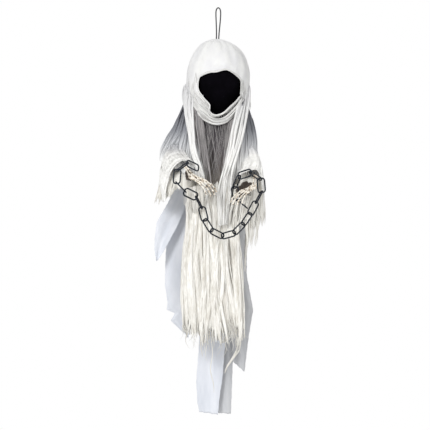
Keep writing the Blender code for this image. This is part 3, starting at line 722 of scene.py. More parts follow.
left_sleeve_place = sleeve_place(
    left_arm, -1, (0.036, 0.043), (0.02, 0.046), (0.06, 0.098), (0.03, 0.05),
)
right_sleeve_place = sleeve_place(
    right_arm, 1, (0.012, 0.018), (0.026, 0.062), (0.045, 0.1), (0.03, 0.06),
)
cream_gauze = gauze_finish("cream_gauze", (0.7, 0.67, 0.6), (0.95, 0.94, 0.9))
sleeve_gauze = faded_finish("sleeve_gauze", -0.323, -0.37, [
    (0.0, (0.42, 0.43, 0.46)), (1.0, (0.93, 0.925, 0.9)),
    (0.35, (0.66, 0.66, 0.67)), (0.65, (0.85, 0.84, 0.82)),
])

for name, place, node, seed in (
    ("left_sleeve_gauze", left_sleeve_place, "left_sleeve", 21),
    ("right_sleeve_gauze", right_sleeve_place, "right_sleeve", 22),
):
    bm = bmesh.new()
    lay_grid(bm, 90, 60, (0.2, 0.16, 0.0), place)
    sleeve = add_cloth(name, bm, sleeve_gauze, 0.001)
    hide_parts(node)
    drawn = random.Random(seed)
    bm = bmesh.new()
    for index in range(96):
        start = drawn.uniform(0.0, 0.35)
        lane = drawn.uniform(0.02, 0.98)
        drift = drawn.uniform(-0.1, 0.1)
        lift = drawn.uniform(0.0003, 0.0016)
        overhang = drawn.uniform(0.0, 0.018) if drawn.random() < 0.5 else 0.0

        round_cuff = index % 4 != 0

        def sleeve_thread(t):
            if round_cuff:
                s = 0.5 + (start - 0.17) + (1 if drift > 0 else -1) * 0.5 * t
                share = 1.0 - 0.9 * lane ** 1.4 + drift * t
            else:
                s = lane + drift * t + 0.02 * math.sin(7 * t + 11 * lane)
                share = 0.35 + start + (0.65 - start) * min(1.0, t * 1.08)
            point = place(min(1.0, max(0.0, s)), min(1.0, max(0.0, share))) + Vector((0.0, -lift, lift))
            point.z -= overhang * max(0.0, t - 0.7) * 3
            return point

        width = drawn.uniform(0.0003, 0.0009) if round_cuff else drawn.uniform(0.0004, 0.001)
        lay_thread(bm, sleeve_thread, tapered(width), 26, 5, flatness=0.6, shift=0.019 * index)
    close_threads(bm)
    add_piece(name.replace("gauze", "threads"), bm, sleeve_gauze)


# Side drapes: lengths of gauze that close the robe at each side. They hang from the hood's hem over
# the dark lining, behind the arms.

for name, first_angle, last_angle in (("right_side_drape", -32, 24), ("left_side_drape", 156, 212)):

    def drape_place(s, t):
        angle = math.radians(first_angle + (last_angle - first_angle) * s)
        height = hood_hem + 0.006 - (0.235 + 0.006 * math.sin(17 * s) + 0.003 * math.sin(43 * s)) * t
        point = shell_point(angle, max(height, hood_hem), 0.0016)
        point.z = height
        out = Vector((point.x, point.y, 0.0)).normalized()
        folds = 0.0034 * math.sin(23 * s + 4 * t) + 0.0014 * math.sin(61 * s - 6 * t)
        return point + out * folds * ease(t, 0.02, 0.35)

    bm = bmesh.new()
    lay_grid(bm, 60, 60, (0.075, 0.24, 0.0), drape_place)
    drape = add_cloth(name, bm, shoulder_gauze, 0.0008)


# Undersides: the gauze of both sleeves hangs on below the arms and meets in front of the body, so the
# hands stand before pale cloth.

def underside_place(s, t):
    """Cloth below the arms: s from left to right, t down."""
    height = -0.356 - 0.15 * t
    left = -0.13 - 0.005 * t
    right = 0.098 + 0.008 * math.sin(3 * t)
    x = left + (right - left) * s
    middle = 1 - (2 * s - 1) ** 2
    folds = 0.003 * math.sin(41 * s + 3 * t) + 0.0014 * math.sin(97 * s - 5 * t)
    gap = 0.024 * math.exp(-((x - 0.002) / 0.026) ** 2) * (1 - ease(t, 0.35, 0.75))
    forward = 0.046 * (1 - ease(x, -0.076, -0.048)) + 0.038 * ease(x, 0.03, 0.056)
    forward = forward * ease(t, 0.1, 0.4) * (1 - 0.35 * t)
    return Vector((x, -0.03 - 0.02 * middle - folds + gap - forward, height))


bm = bmesh.new()
lay_grid(bm, 150, 50, (0.26, 0.16, 0.0), underside_place)
unused = []
for face in bm.faces:
    spot = face.calc_center_median()
    chest = abs(spot.x - 0.002) < 0.038 * (1 - ease(-spot.z, 0.36, 0.465))
    left_hem = -0.478 + 0.8 * min(0.055, spot.x + 0.1543) - 0.072 * ease(spot.x, -0.08, -0.064)
    left_hem += 0.002 * math.sin(700 * spot.x)
    if chest or (spot.x < -0.064 and spot.z < left_hem):
        unused.append(face)
bmesh.ops.delete(bm, geom=unused, context="FACES")
underside = add_cloth("sleeve_undersides", bm, cream_gauze, 0.0008)


# Cuffs: dark gauze discs in the sleeves' mouths, round the forearm bones, are painted shade in the sleeves.

# Painted shade: a near-black gauze put where the inside of each sleeve lies in shadow.
cuff_shade = gauze_finish("cuff_shade_gauze", (0.03, 0.022, 0.018), (0.16, 0.13, 0.11))
for name, centre, half_width, half_height in (
    ("right_cuff_lining", (0.0617, -0.09, -0.4346), 0.019, 0.016),
    ("left_cuff_lining", (-0.0703, -0.086, -0.4022), 0.0075, 0.012),
):
    bm = bmesh.new()

    def cuff_place(s, t):
        angle = math.tau * s
        reach = t * (1 + 0.1 * math.sin(5 * angle) + 0.06 * math.sin(11 * angle))
        bowl = 0.01 * (1 - t * t)
        lean = 0.35 if centre[0] > 0 else -0.35
        x = half_width * reach * math.cos(angle)
        z = centre[2] + half_height * reach * math.sin(angle) + lean * x
        return Vector((centre[0] + x, centre[1] + bowl, z))

    lay_grid(bm, 40, 12, (0.08, 0.03, 0.0), cuff_place)
    bmesh.ops.remove_doubles(bm, verts=bm.verts, dist=0.000002)
    bmesh.ops.recalc_face_normals(bm, faces=bm.faces)
    if sum(face.normal.y for face in bm.faces) > 0:
        bmesh.ops.reverse_faces(bm, faces=bm.faces)
    add_cloth(name, bm, cuff_shade, 0.0008)


# Lapels: torn lengths of the same gauze, sewn to the hood beside the face. They hang in loose bundles
# in front of the chest and over the dark V.

white_threads = faded_finish("white_threads", -0.02, -0.46, [
    (0.0, (0.4, 0.39, 0.41)), (1.0, (0.93, 0.925, 0.9)),
    (0.35, (0.62, 0.62, 0.63)), (0.65, (0.84, 0.835, 0.82)),
])
left_lapel_lanes = (
    tenths(
        (-794, -190, -1814), (-852, -290, -2150), (-799, -560, -2534), (-703, -680, -3038),
        (-655, -760, -3446), (-535, -860, -3782), (-415, -860, -4118), (-295, -800, -4502),
    ),
    tenths(
        (-571, -480, -2006), (-607, -540, -2318), (-607, -660, -2630), (-571, -740, -3038),
        (-523, -800, -3398), (-427, -860, -3782), (-331, -840, -4166), (-247, -780, -4550),
    ),
)
right_lapel_lanes = (
    tenths(
        (533, -500, -2102), (437, -680, -2486), (353, -760, -2870), (269, -800, -3278),
        (161, -830, -3710), (41, -820, -4166), (-19, -740, -4670), (-7, -700, -5222),
    ),
    tenths(
        (734, -190, -1814), (727, -340, -2294), (653, -620, -2774), (569, -740, -3206),
        (449, -820, -3638), (329, -840, -4070), (257, -780, -4598), (221, -700, -5174),
    ),
)


def lapel_place(lanes, depth):
    """Surface of a lapel between its two edges, with folds along it."""
    def place(s, t):
        point = smooth_read(lanes[0], t).lerp(smooth_read(lanes[1], t), s)
        loose = ease(t, 0.05, 0.35)
        point.y -= loose * depth * (math.sin(20 * s + 4 * t) + 0.5 * math.sin(47 * s - 6 * t))
        point.x += loose * 0.0012 * math.sin(13 * t + 4 * s)
        return point
    return place


for name, lanes, node, seed, bundle_count in (
    ("left_lapel_gauze", left_lapel_lanes, "left_lapel", 31, 20),
    ("right_lapel_gauze", right_lapel_lanes, "right_lapel", 32, 30),
):
    place = lapel_place(lanes, 0.0024)
    bm = bmesh.new()
    lay_grid(bm, 48, 110, (0.05, 0.26, 0.0), place)
    lapel = add_cloth(name, bm, white_threads, 0.001)
    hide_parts(node)
    drawn = random.Random(seed)
    bm = bmesh.new()
    for index in range(bundle_count):
        lane = (index + drawn.uniform(0.1, 0.9)) / bundle_count
        start = drawn.uniform(0.0, 0.1)
        end = drawn.uniform(0.8, 1.06)
        lift = drawn.uniform(0.001, 0.0048)
        phase = drawn.uniform(0.0, 6.28)
        wander = drawn.uniform(0.04, 0.22)

        def lapel_thread(t):
            share = start + (end - start) * t
            s = min(1.06, max(-0.06, lane + wander * math.sin(5 * share + phase)))
            below = max(0.0, share - 1.0)
            hang = Vector((0.0, -lift * ease(share, 0.0, 0.3) - 0.0008, -0.27 * below))
            return place(s, min(1.0, share)) + hang

        width = drawn.choice((0.0008, 0.0011, 0.0016, 0.0022, 0.0027))
        lay_thread(bm, lapel_thread, tapered(width, 0.04, 0.3), 44, 6, shift=0.021 * index)
    close_threads(bm)
    add_piece(name.replace("gauze", "threads"), bm, white_threads)


# Shoulder capes: the sides of the hood's gauze, which spread over the shoulders and turn into the
# sleeves. The dark lining shows through them above, and they get whiter where they lie in folds.

capes = (
    ("left_cape",
     tenths(
         (-787, -220, -2150), (-866, -200, -2366), (-967, -220, -2606), (-1087, -280, -2870),
         (-1255, -360, -3122), (-1375, -440, -3374), (-1399, -500, -3662),
     ),
     tenths(
         (-511, -560, -2294), (-499, -600, -2678), (-475, -640, -3062), (-439, -680, -3398),
         (-391, -740, -3710), (-331, -760, -4022), (-295, -760, -4262),
     ), 91),
    ("right_cape",
     tenths(
         (545, -560, -2342), (473, -600, -2726), (401, -640, -3110), (329, -680, -3398),
         (257, -720, -3710), (197, -740, -4022), (161, -740, -4262),
     ),
     tenths(
         (698, -140, -2102), (727, -120, -2366), (809, -160, -2630), (881, -240, -2918),
         (919, -320, -3182), (929, -400, -3446), (989, -460, -3686),
     ), 92),
)
for name, left_edge, right_edge, seed in capes:

    def cape_place(s, t):
        point = smooth_read(left_edge, t).lerp(smooth_read(right_edge, t), s)
        folds = 0.0022 * math.sin(26 * s + 5 * t) + 0.0012 * math.sin(61 * s - 7 * t)
        point.y -= 0.01 * math.sin(math.pi * s) + folds * ease(t, 0.0, 0.3)
        return point

    bm = bmesh.new()
    lay_grid(bm, 60, 80, (0.09, 0.2, 0.0), cape_place)
    cape = add_cloth(name, bm, shoulder_gauze, 0.0008)
    drawn = random.Random(seed)
    bm = bmesh.new()
    for index in range(90):
        lane = drawn.random()
        start = drawn.uniform(-0.02, 0.5)
        end = drawn.uniform(0.75, 1.1)
        cross = drawn.uniform(-0.12, 0.12)
        lift = drawn.uniform(0.0004, 0.003)

        def cape_thread(t):
            share = start + (end - start) * t
            s = min(1.0, max(0.0, lane + cross * share + 0.02 * math.sin(9 * share + 13 * lane)))
            point = cape_place(s, min(1.0, max(0.0, share)))
            past = max(0.0, share - 1.0)
            return point + Vector((0.0, -lift, -0.12 * past))

        radius = tapered(drawn.uniform(0.0005, 0.0015), 0.05, 0.35)
        lay_thread(bm, cape_thread, radius, 30, 5, flatness=0.6, shift=0.015 * index)
    close_threads(bm)
    add_piece(name + "_threads", bm, shoulder_gauze)


# Pulled threads: single threads and thin bundles that cross from the hood and the cowl to the chest
# and shade the dark lining from the sides inwards.

grey_threads = gauze_finish("grey_threads", (0.24, 0.22, 0.23), (0.56, 0.54, 0.53))
fans = (
    # (top left, top right, bottom left and bottom right; threads, widest, how far they leave their lanes)
    (tenths((-607, -560, -2342), (-367, -620, -2654), (-463, -790, -3878), (-151, -660, -4598)),
     64, 0.001, 0.3),
    (tenths((-511, -600, -2630), (497, -600, -2486), (-343, -560, -4550), (185, -560, -4550)),
     60, 0.0004, 0.8),
    (tenths((257, -640, -2726), (497, -600, -2438), (-19, -700, -4502), (257, -760, -4070)),
     44, 0.001, 0.36),
)
drawn = random.Random(41)
bm = bmesh.new()
for (top_left, top_right, low_left, low_right), count, widest, stray in fans:
    for index in range(count):
        lane = drawn.random()
        cross = lane + drawn.uniform(-stray, stray)
        top = Vector(top_left).lerp(Vector(top_right), lane)
        low = Vector(low_left).lerp(Vector(low_right), cross)
        sag = drawn.uniform(-0.004, 0.006)
        phase = drawn.uniform(0.0, 6.28)
        length = drawn.uniform(0.55, 1.0)

        def fan_thread(t):
            share = t * length
            point = top.lerp(low, share)
            point.y -= (0.004 + sag) * math.sin(math.pi * share)
            point.x += 0.0016 * math.sin(7 * share + phase)
            return point

        lay_thread(bm, fan_thread, tapered(drawn.uniform(0.0003, widest)), 20, 4, shift=0.011 * index)
close_threads(bm)
add_piece("pulled_threads", bm, grey_threads)

drawn = random.Random(43)
bm = bmesh.new()
for first_x, last_x, count in ((-0.0745, -0.05, 26), (0.056, 0.0735, 22)):
    for index in range(count):
        x = drawn.uniform(first_x, last_x)
        top = drawn.uniform(-0.195, -0.155)
        bottom = drawn.uniform(-0.27, -0.235)
        spread = -0.008 if first_x < 0 else 0.004
        phase = drawn.uniform(0.0, 6.28)

        def hood_thread(t):
            z = top + (bottom - top) * t
            across = x + spread * t * t + 0.0012 * math.sin(6 * t + phase)
            return on_hood(across, max(z, hood_hem), 0.0008) + Vector((0.0, 0.0, min(0.0, z - hood_hem)))

        radius = tapered(drawn.uniform(0.0007, 0.002), 0.3, 0.2)
        lay_thread(bm, hood_thread, radius, 24, 5, flatness=0.6, shift=0.012 * index)
close_threads(bm)
add_piece("hood_gathers", bm, white_gauze)


# Front apron: the widest length of gauze. Many weft threads are pulled out, so the rest has drawn
# together in long flat bundles that fray apart at the hem.

# The base sheet is a darker copy of the bundles' gauze: painted shade where it shows between the bundles.
apron_shaded_mesh = gauze_finish("apron_shaded_mesh", (0.54, 0.51, 0.45), (0.86, 0.84, 0.79))
apron_cream = gauze_finish("apron_cream", (0.62, 0.59, 0.52), (0.95, 0.94, 0.9))
apron_top = -0.432
apron_left = [(apron_top, -0.056), (-0.47, -0.076), (-0.6, -0.082), (-0.78, -0.082)]
apron_right = [
    (apron_top, 0.05), (-0.47, 0.042), (-0.52, 0.046), (-0.6, 0.054), (-0.8, 0.066),
]


def apron_place(s, t):
    """Surface of the apron: s from left to right, t from the arms to the hem."""
    hem = -0.772 - 0.02 * ease(s, 0.08, 0.3) - 0.008 * math.sin(23 * s)
    height = apron_top + (hem - apron_top) * t
    left = value_at(apron_left, height)
    x = left + (value_at(apron_right, height) - left) * s + 0.003 * math.sin(6 * t + 11 * s)
    wide = math.sin(31 * s + 3.0 * math.sin(2.4 * t) + 1.0)
    narrow = math.sin(73 * s - 4.5 * t)
    small = math.sin(151 * s + 7 * t)
    folds = (0.0032 * wide + 0.0014 * narrow + 0.0005 * small) * ease(t, 0.0, 0.2)
    return Vector((x, -0.054 - 0.004 * t - folds, height))


bm = bmesh.new()
lay_grid(bm, 220, 110, (0.3, 0.36, 0.0), apron_place)
torn = []
for face in bm.faces:
    spot = face.calc_center_median()
    if spot.z < -0.764 + 0.01 * math.sin(900 * spot.x) and math.sin(1300 * spot.x) > 0.1:
        torn.append(face)
bmesh.ops.delete(bm, geom=torn, context="FACES")
apron = add_cloth("front_apron", bm, apron_shaded_mesh, 0.001)
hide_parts("front_gauze")

drawn = random.Random(51)
bm = bmesh.new()
for index in range(84):
    lane = drawn.random()
    start = drawn.uniform(-0.06, 0.1)
    end = drawn.uniform(0.88, 1.04)
    wander = drawn.uniform(0.015, 0.075)
    pace = drawn.uniform(1.6, 5.5)
    phase = drawn.uniform(0.0, 6.28)
    lift = drawn.uniform(0.0006, 0.0064)
    width = drawn.choice((0.001, 0.0018, 0.0028, 0.0042, 0.0056))

    def apron_thread(t):
        share = start + (end - start) * t
        wave = math.sin(pace * share + phase) + 0.4 * math.sin(2.3 * pace * share)
        s = min(1.0, max(0.0, lane + wander * wave))
        point = apron_place(s, min(1.0, max(0.0, share)))
        point.z -= 0.34 * (share - min(1.0, max(0.0, share)))
        point.y -= lift
        return point

    lay_thread(bm, apron_thread, tapered(width, 0.03, 0.14), 60, 8, flatness=0.45, shift=0.023 * index)
for index in range(90):
    lane = drawn.random()
    start = drawn.uniform(0.85, 0.96)
    length = drawn.uniform(0.02, 0.07)
    lean = drawn.uniform(-0.01, 0.01)
    curl = drawn.uniform(0.002, 0.009)
    phase = drawn.uniform(0.0, 6.28)
    base = apron_place(lane, start)

    def fringe(t):
        sway = curl * t * math.sin(7 * t + phase)
        fall = -length * t + 0.3 * abs(sway)
        return base + Vector((lean * t * t + sway, -0.0015 - 0.5 * curl * t * t, fall))

    lay_thread(bm, fringe, tapered(drawn.uniform(0.0004, 0.001), 0.05, 0.5), 10, 4, shift=0.013 * index)
wisps = (
    (tenths(
         (-175, -560, -7838), (-139, -560, -8246), (-187, -540, -8630), (-115, -520, -8966),
         (-103, -520, -9206),
     ), 0.001),
    (tenths(
         (485, -560, -7838), (449, -550, -8126), (317, -520, -8390), (209, -500, -8558),
         (149, -480, -8738),
     ), 0.0022),
    (tenths(
         (533, -560, -7838), (497, -560, -8150), (353, -530, -8366), (185, -510, -8606),
         (156, -490, -8726),
     ), 0.0016),
    (tenths((-427, -560, -7838), (-415, -560, -8078), (-367, -540, -8342)), 0.001),
)
for points, width in wisps:
    lay_thread(bm, lambda t: smooth_read(points, t), tapered(width, 0.05, 0.3), 28, 6)
close_threads(bm)
add_piece("apron_threads", bm, apron_cream)


# Side fringes: the ends of the sleeves' gauze, which hang down outside the arms and fray away.

drawn = random.Random(61)
bm = bmesh.new()
hangs = (
    # (top left, top right, bottom left and bottom right; threads, least and most reach)
    (tenths((833, -700, -4262), (1061, -400, -4262), (809, -640, -5222), (1121, -440, -5126)),
     60, 0.8, 1.12),
    (tenths((641, -600, -4718), (1025, -500, -4598), (677, -560, -5654), (929, -500, -5558)),
     40, 0.6, 1.2),
    (tenths((-1363, -500, -4070), (-967, -800, -4118), (-1555, -500, -4814), (-1111, -780, -4502)),
     60, 0.72, 1.02),
    (tenths((-703, -800, -4310), (-391, -860, -4214), (-727, -640, -4934), (-343, -640, -4934)),
     40, 0.6, 1.05),
    (tenths((233, -820, -4070), (761, -700, -4502), (89, -640, -5126), (593, -620, -5222)),
     60, 0.7, 1.2),
)
for (top_left, top_right, low_left, low_right), count, least, most in hangs:
    for index in range(count):
        lane = drawn.random()
        top = Vector(top_left).lerp(Vector(top_right), lane)
        low = Vector(low_left).lerp(Vector(low_right), lane + drawn.uniform(-0.06, 0.06))
        reach = drawn.uniform(least, most)
        phase = drawn.uniform(0.0, 6.28)
        bulge = drawn.uniform(0.002, 0.007)

        def hanging_thread(t):
            share = t * reach
            point = top.lerp(low, share)
            point.x += 0.0014 * math.sin(6 * share + phase)
            point.y -= bulge * math.sin(math.pi * min(1.0, share))
            return point

        width = drawn.choice((0.0007, 0.0011, 0.0016, 0.0024))
        lay_thread(bm, hanging_thread, tapered(width, 0.06, 0.3), 18, 5, flatness=0.7, shift=0.019 * index)
close_threads(bm)
add_piece("side_fringe", bm, cream_gauze)


# Back: white gauze that falls from the hood's hem over the dark lining, in the same loose bundles.

def back_place(s, t):
    """Surface of the back gauze: s from the right round the back to the left, t down."""
    angle = math.radians(24 + 132 * s)
    height = hood_hem + 0.004 - 0.413 * t
    folds = (0.005 * math.sin(37 * s + 4 * t) + 0.002 * math.sin(89 * s - 5 * t)) * ease(t, 0.0, 0.3)
    point = shell_point(angle, height, 0.001)
    if point.x > 0:
        point.x *= 1 - 0.2 * ease(-height, 0.46, 0.56)
    point.y += folds
    point.z += 0.014 * t ** 4 * (math.sin(31 * s) + 0.6 * math.sin(83 * s))
    return point


bm = bmesh.new()
lay_grid(bm, 200, 90, (0.34, 0.42, 0.0), back_place)
back_gauze = add_cloth("back_fall", bm, cream_gauze, 0.001)
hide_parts("back_gauze")
drawn = random.Random(71)
bm = bmesh.new()
for index in range(80):
    lane = drawn.random()
    start = drawn.uniform(0.0, 0.08)
    end = drawn.uniform(0.85, 1.06)
    wander = drawn.uniform(0.005, 0.025)
    phase = drawn.uniform(0.0, 6.28)
    lift = drawn.uniform(0.0006, 0.003)

    def back_thread(t):
        share = start + (end - start) * t
        s = min(1.0, max(0.0, lane + wander * math.sin(5 * share + phase)))
        point = back_place(s, min(1.0, share))
        point.z -= 0.4 * max(0.0, share - 1.0)
        point.y += lift
        return point

    width = drawn.choice((0.0009, 0.0014, 0.0022, 0.003))
    lay_thread(
        bm, back_thread, tapered(width, 0.03, 0.15), 44, 6,
        facing=(0.0, 1.0, 0.0), flatness=0.7, shift=0.017 * index,
    )
close_threads(bm)
add_piece("back_threads", bm, cream_gauze)


# Robe strips: pale nonwoven cloth, torn from a sheet by hand and sewn inside the back lining. It is
# smooth and stiff enough to hold soft lengthwise creases, and its torn sides are a little ragged.

def nonwoven_finish(name, thin, thick):
    """Nonwoven cloth: cloudy, with fine matted fibres."""
    made, shader, nodes, links = new_finish(name, 0.85, 0.1)
    shader.inputs["Specular IOR Level"].default_value = 0.25
    along = nodes.new("ShaderNodeUVMap")
    along.uv_map = "cut"
    cloudy = stretched_noise(nodes, links, along.outputs["UV"], (26.0, 9.0, 1.0), 3.0)
    fibres = stretched_noise(nodes, links, along.outputs["UV"], (900.0, 900.0, 1.0), 2.0)
    coloured_by(nodes, links, cloudy, [(0.35, thin), (0.65, thick)], shader.inputs["Base Color"])
    below = raised_by(nodes, links, cloudy, 0.004, shader, 0.3)
    raised_by(nodes, links, fibres, 0.0004, shader, 0.6, below)
    return made


nonwoven = nonwoven_finish("nonwoven", (0.67, 0.7, 0.76), (0.8, 0.82, 0.87))
# A darker copy of the same nonwoven: painted shade for the right strip and the rear bottom strip.
nonwoven_shaded = nonwoven_finish("nonwoven_shaded", (0.47, 0.48, 0.5), (0.62, 0.63, 0.65))


def straight_read(points, share):
    """Point at a share of the length of a line with straight sides."""
    sides = [(Vector(first), Vector(second)) for first, second in zip(points, points[1:])]
    left = share * sum((second - first).length for first, second in sides)
    for first, second in sides:
        side = (second - first).length
        if left <= side:
            return first.lerp(second, left / side)
        left -= side
    return Vector(points[-1])


strips = (
    # (name, node, left edge, right edge, crease depth, seed, flat cut, area of a cut that is no rectangle)
    ("pointed_panel", "left_pointed_strip",
     tenths(
         (-1015, -200, -4262), (-1207, -180, -4670), (-1471, -180, -5126), (-1519, -200, -5510),
         (-1526, -200, -5774), (-1481, -200, -6050),
     ),
     tenths(
         (-631, -100, -4262), (-775, -120, -4742), (-979, -140, -5222), (-1135, -170, -5510),
         (-1289, -190, -5798), (-1447, -200, -6038),
     ), 0.0016, 81, (0.07, 0.185), 0.008),
    ("left_panel", "left_strip",
     tenths(
         (-991, 60, -4214), (-1135, 100, -4886), (-1243, 80, -5510), (-1272, 60, -6086),
         (-1282, 60, -6638), (-1222, 60, -7034), (-1236, 60, -7238), (-1039, 60, -7322),
         (-1145, 60, -7493), (-751, 70, -7874),
     ),
     tenths(
         (-535, 60, -4214), (-535, 100, -4886), (-559, 100, -5558), (-595, 100, -6278),
         (-619, 100, -6902), (-655, 80, -7430), (-727, 80, -7910),
     ), 0.0026, 82, (0.072, 0.33), None),
    ("right_panel", "right_strip",
     tenths(
         (353, 200, -4718), (377, 200, -5798), (377, 180, -6758), (329, 160, -7598), (341, 140, -8246),
         (353, 140, -8486),
     ),
     tenths(
         (677, 200, -4838), (689, 160, -5750), (684, 120, -6398), (840, 100, -7238), (732, 100, -7886),
         (631, 120, -8726),
     ), 0.004, 83, (0.046, 0.39), None),
    ("bottom_rear_panel", "bottom_rear_strip",
     tenths((-151, 460, -4598), (-199, 340, -6518), (-199, 280, -8198), (-175, 240, -9722)),
     tenths((233, 460, -4598), (329, 340, -6518), (353, 280, -8438), (305, 240, -9749)),
     0.0016, 84, (0.058, 0.52), None),
    ("bottom_front_panel", "bottom_front_strip",
     tenths(
         (-475, 380, -4598), (-427, 240, -6518), (-463, 180, -8078), (-530, 150, -8966),
         (-497, 140, -9494), (-454, 140, -9698),
     ),
     tenths(
         (-103, 380, -4598), (137, 220, -6518), (161, 180, -8078), (101, 150, -8870), (36, 140, -9302),
         (-10, 130, -9758),
     ), 0.0024, 85, (0.062, 0.52), None),
)
for name, node, left_edge, right_edge, depth, seed, flat, flat_area in strips:
    ragged = random.Random(seed)
    phases = [ragged.uniform(0.0, 6.28) for _ in range(8)]

    def strip_place(s, t):
        left = straight_read(left_edge, t)
        right = straight_read(right_edge, t)
        left.x += 0.0003 * math.sin(97 * t + phases[0]) + 0.0002 * math.sin(243 * t + phases[1])
        right.x += 0.0003 * math.sin(111 * t + phases[2]) + 0.0002 * math.sin(267 * t + phases[3])
        point = left.lerp(right, s)
        lie = s + 0.1 * math.sin(3 * t + phases[4])
        fold = math.sin(math.tau * lie + phases[5]) + 0.25 * math.sin(math.tau * 2.3 * lie + phases[6])
        point.y -= depth * fold * ease(t, 0.0, 0.25)
        point.z += 0.0006 * ease(t, 0.9, 1.0) * (math.sin(17 * s + phases[7]) + 0.6 * math.sin(43 * s))
        return point

    bm = bmesh.new()
    lay_grid(bm, 44, 120, (0.08, 0.4, 0.0), strip_place)
    # Painted shade: the right and rear bottom strips take the darker copy of the nonwoven.
    cloth = nonwoven_shaded if name in ("right_panel", "bottom_rear_panel") else nonwoven
    panel = add_cloth(name, bm, cloth, 0.0006)
    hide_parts(node)


# Hands: small skeleton hands moulded in ivory plastic, each butted against the end of its arm wire.
# Brown stain lies on them in patches from noise, and its near-black stop is painted shade for the gaps
# between bones.

ivory, shader, nodes, links = new_finish("ivory_plastic", 0.5)
place_on = nodes.new("ShaderNodeTexCoord").outputs["Object"]
stain_and_shade = stretched_noise(nodes, links, place_on, (170, 170, 170), 4.0)
coloured_by(
    # The near-black first stop is painted shade; the brown and ivory stops are the stain and the plastic.
    nodes, links, stain_and_shade,
    [(0.35, (0.07, 0.04, 0.022)), (0.44, (0.62, 0.52, 0.4)), (0.51, (0.92, 0.87, 0.78))],
    shader.inputs["Base Color"],
)
raised_by(nodes, links, stretched_noise(nodes, links, place_on, (600, 600, 600)), 0.0004, shader)

bone_radius = 0.0026
forearm_length = 0.036
palm_length = 0.034
wire_gap = 0.0006
finger_rows = (  # (root, knuckle, scale of the finger)
    (0.007, 0.0125, 0.9), (0.0025, 0.0045, 1.0), (-0.0025, -0.004, 0.95), (-0.007, -0.0115, 0.78),
)
phalanges = (0.019, 0.013, 0.01)
curls = (12, 20, 18)


def lay_bone(bm, start, end, radius):
    """A bone with a knob at each end and a slim shaft."""
    def swell(t):
        knobs = math.exp(-((t - 0.12) / 0.1) ** 2) + math.exp(-((t - 0.88) / 0.1) ** 2)
        tip = min(1.0, t / 0.05, (1.0 - t) / 0.05)
        return radius * (0.58 + 0.5 * knobs) * math.sqrt(max(0.0, tip))

    facing = (0.0, -1.0, 0.0) if abs((end - start).normalized().y) < 0.8 else (0.0, 0.0, 1.0)
    lay_thread(bm, lambda t: start.lerp(end, t), swell, 20, 10, facing=facing)


def make_hand(name, node, arm, along, back_of_hand, thumb_side):
    """A hand beyond the end of its arm wire: along the fingers, with the back of the hand given."""
    wire_end = Vector(arm[-1])
    towards = (wire_end - Vector(arm[-2])).normalized()
    elbow = wire_end + towards * wire_gap
    origin = elbow + towards * forearm_length
    x_axis = Vector(along).normalized()
    z_axis = Vector(back_of_hand)
    z_axis = (z_axis - z_axis.project(x_axis)).normalized()
    y_axis = z_axis.cross(x_axis) * thumb_side

    def at(x, y, z):
        return origin + x_axis * x + y_axis * y + z_axis * z

    bm = bmesh.new()
    side = (y_axis - y_axis.project(towards)).normalized()
    lay_bone(bm, elbow + side * 0.0028, origin + side * 0.0048, 1.35 * bone_radius)
    lay_bone(bm, elbow - side * 0.0028, origin - side * 0.0048, 1.2 * bone_radius)
    for root, knuckle, scale in finger_rows:
        end = at(palm_length, knuckle, 0.0015)
        lay_bone(bm, at(0.006, root, 0.0), end, bone_radius)
        spread = math.atan2(knuckle - root, palm_length - 0.006)
        bend = 0.0
        for length, curl in zip(phalanges, curls):
            bend += math.radians(curl)
            heading = x_axis * math.cos(bend) * math.cos(spread)
            heading += y_axis * math.sin(spread) * math.cos(bend) - z_axis * math.sin(bend)
            start = end - heading * 0.0015
            end = end + heading * length * scale
            lay_bone(bm, start, end, 0.88 * bone_radius)
    thumb = [at(*joint) for joint in tenths((50, 80, 0), (200, 190, -40), (330, 235, -90), (430, 240, -140))]
    for start, end in zip(thumb, thumb[1:]):
        lay_bone(bm, start - (end - start) * 0.08, end, bone_radius)
    for x, y, radius in (
        (0.0, 0.006, 0.0042), (0.0, -0.001, 0.0044), (0.001, -0.0075, 0.0038),
        (0.006, 0.007, 0.004), (0.007, 0.002, 0.0038), (0.007, -0.003, 0.0038),
        (0.006, -0.008, 0.0036),
    ):
        made = bmesh.ops.create_icosphere(bm, subdivisions=3, radius=radius)["verts"]
        bmesh.ops.translate(bm, vec=at(x, y, 0.0), verts=made)
    close_threads(bm)
    hand = add_piece(name, bm, ivory)
    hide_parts(node)


make_hand("left_skeleton_hand", "left_hand", left_arm, (0.76, -0.44, -0.48), (0.35, -0.6, 0.72), 1)
make_hand("right_skeleton_hand", "right_hand", right_arm, (-0.7, -0.58, -0.42), (-0.3, -0.5, 0.8), -1)


# Chain: loose links moulded in black plastic, hooked into each other from wrist to wrist. Each link is
# a round bar in the shape of a rounded rectangle, with a fine parting line round its middle.

chain_black, shader, nodes, links = new_finish("chain_plastic", 0.32)
shader.inputs["Specular IOR Level"].default_value = 0.2
place_on = nodes.new("ShaderNodeTexCoord").outputs["Object"]
rubbed = stretched_noise(nodes, links, place_on, (140, 140, 140), 3.0)
coloured_by(
    nodes, links, rubbed,
    [(0.4, (0.004, 0.006, 0.011)), (0.72, (0.016, 0.023, 0.036))], shader.inputs["Base Color"],
)
raised_by(nodes, links, rubbed, 0.0005, shader, 0.5)

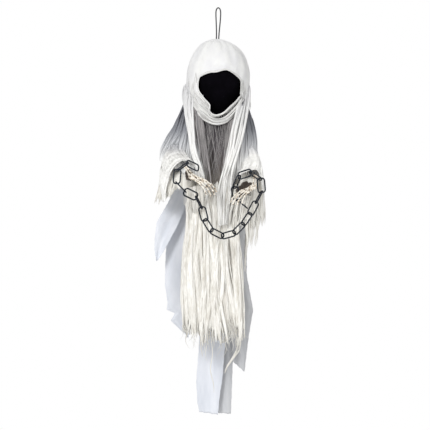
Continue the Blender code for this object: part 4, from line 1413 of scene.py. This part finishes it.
link_length = 0.0365
link_width = 0.022
link_wire = 0.0034
link_corner = 0.0062
link_gap = 0.0003
chain_route = tenths(
    (-480, -1200, -3860), (-640, -1300, -3740), (-880, -1360, -3820), (-1010, -1380, -4080),
    (-880, -1360, -4340), (-620, -1260, -4480), (-440, -1260, -4600), (-390, -1280, -4780),
    (-340, -1280, -5020), (-160, -1280, -5330), (110, -1280, -5460), (390, -1280, -5370),
    (600, -1280, -5150), (750, -1280, -4920), (860, -1260, -4700), (990, -1260, -4480),
    (1040, -1270, -4240), (900, -1300, -4020), (640, -1240, -3960), (420, -1160, -4120),
    (380, -1120, -4420), (500, -1120, -4680), (720, -1120, -4820),
)
link_rolls = (40, 100, 30, 90, 10, 100, 30, 130, 45, 135, 45, 130, 35, 100, 20, 110, 30, 120, 30, 90)
joint_reach = (link_wire + link_gap) / (2 * math.cos(math.radians(19)))
link_pitch = link_length - link_wire - 2 * joint_reach
corner_steps = 7
bar_sides = 14


def add_link(bm, turn):
    """One link: a closed round bar, with its long way along the X of the turn matrix."""
    half_length = (link_length - link_wire) / 2 - link_corner
    half_width = (link_width - link_wire) / 2 - link_corner
    spots = []
    for sign_x, sign_y, first in ((1, 1, 0), (-1, 1, 90), (-1, -1, 180), (1, -1, 270)):
        for step in range(corner_steps):
            angle = math.radians(first + 90 * step / (corner_steps - 1))
            spots.append((Vector((sign_x * half_length, sign_y * half_width, 0)), angle))

    def place(s, t):
        centre, angle = spots[round(t * len(spots)) % len(spots)]
        around = math.tau * s
        line = 0.00012 * math.exp(-(min(s, abs(s - 0.5), abs(s - 1.0)) / 0.03) ** 2)
        reach = link_wire / 2 + line
        out = Vector((math.cos(angle), math.sin(angle), 0))
        away = out * (link_corner + reach * math.cos(around))
        return turn @ (centre + away + Vector((0, 0, reach * math.sin(around))))

    lay_grid(bm, bar_sides, len(spots), (0.011, 0.1, 0.0), place)


joints = [Vector(chain_route[0])]
samples = 60 * len(chain_route)
for index in range(samples + 1):
    here = smooth_read(chain_route, index / samples)
    if (here - joints[-1]).length >= link_pitch and len(joints) <= len(link_rolls):
        joints.append(joints[-1] + (here - joints[-1]).normalized() * link_pitch)
for index, (start, end) in enumerate(zip(joints, joints[1:])):
    lengthwise = (end - start).normalized()
    level_axis = Vector((0, -1, 0))
    level_axis = (level_axis - level_axis.project(lengthwise)).normalized()
    across = level_axis.cross(lengthwise)
    roll = math.radians(link_rolls[index])
    y_axis = across * math.cos(roll) + level_axis * math.sin(roll)
    turn = Matrix((lengthwise, y_axis, lengthwise.cross(y_axis))).transposed().to_4x4()
    turn.translation = (start + end) / 2
    bm = bmesh.new()
    add_link(bm, turn)
    close_threads(bm)
    link = add_piece(f"link_{index + 1:02d}", bm, chain_black)
    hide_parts(f"chain_link_{index + 1:02d}")


# Settings of the view.

bpy.context.scene.view_settings.view_transform = "Standard"
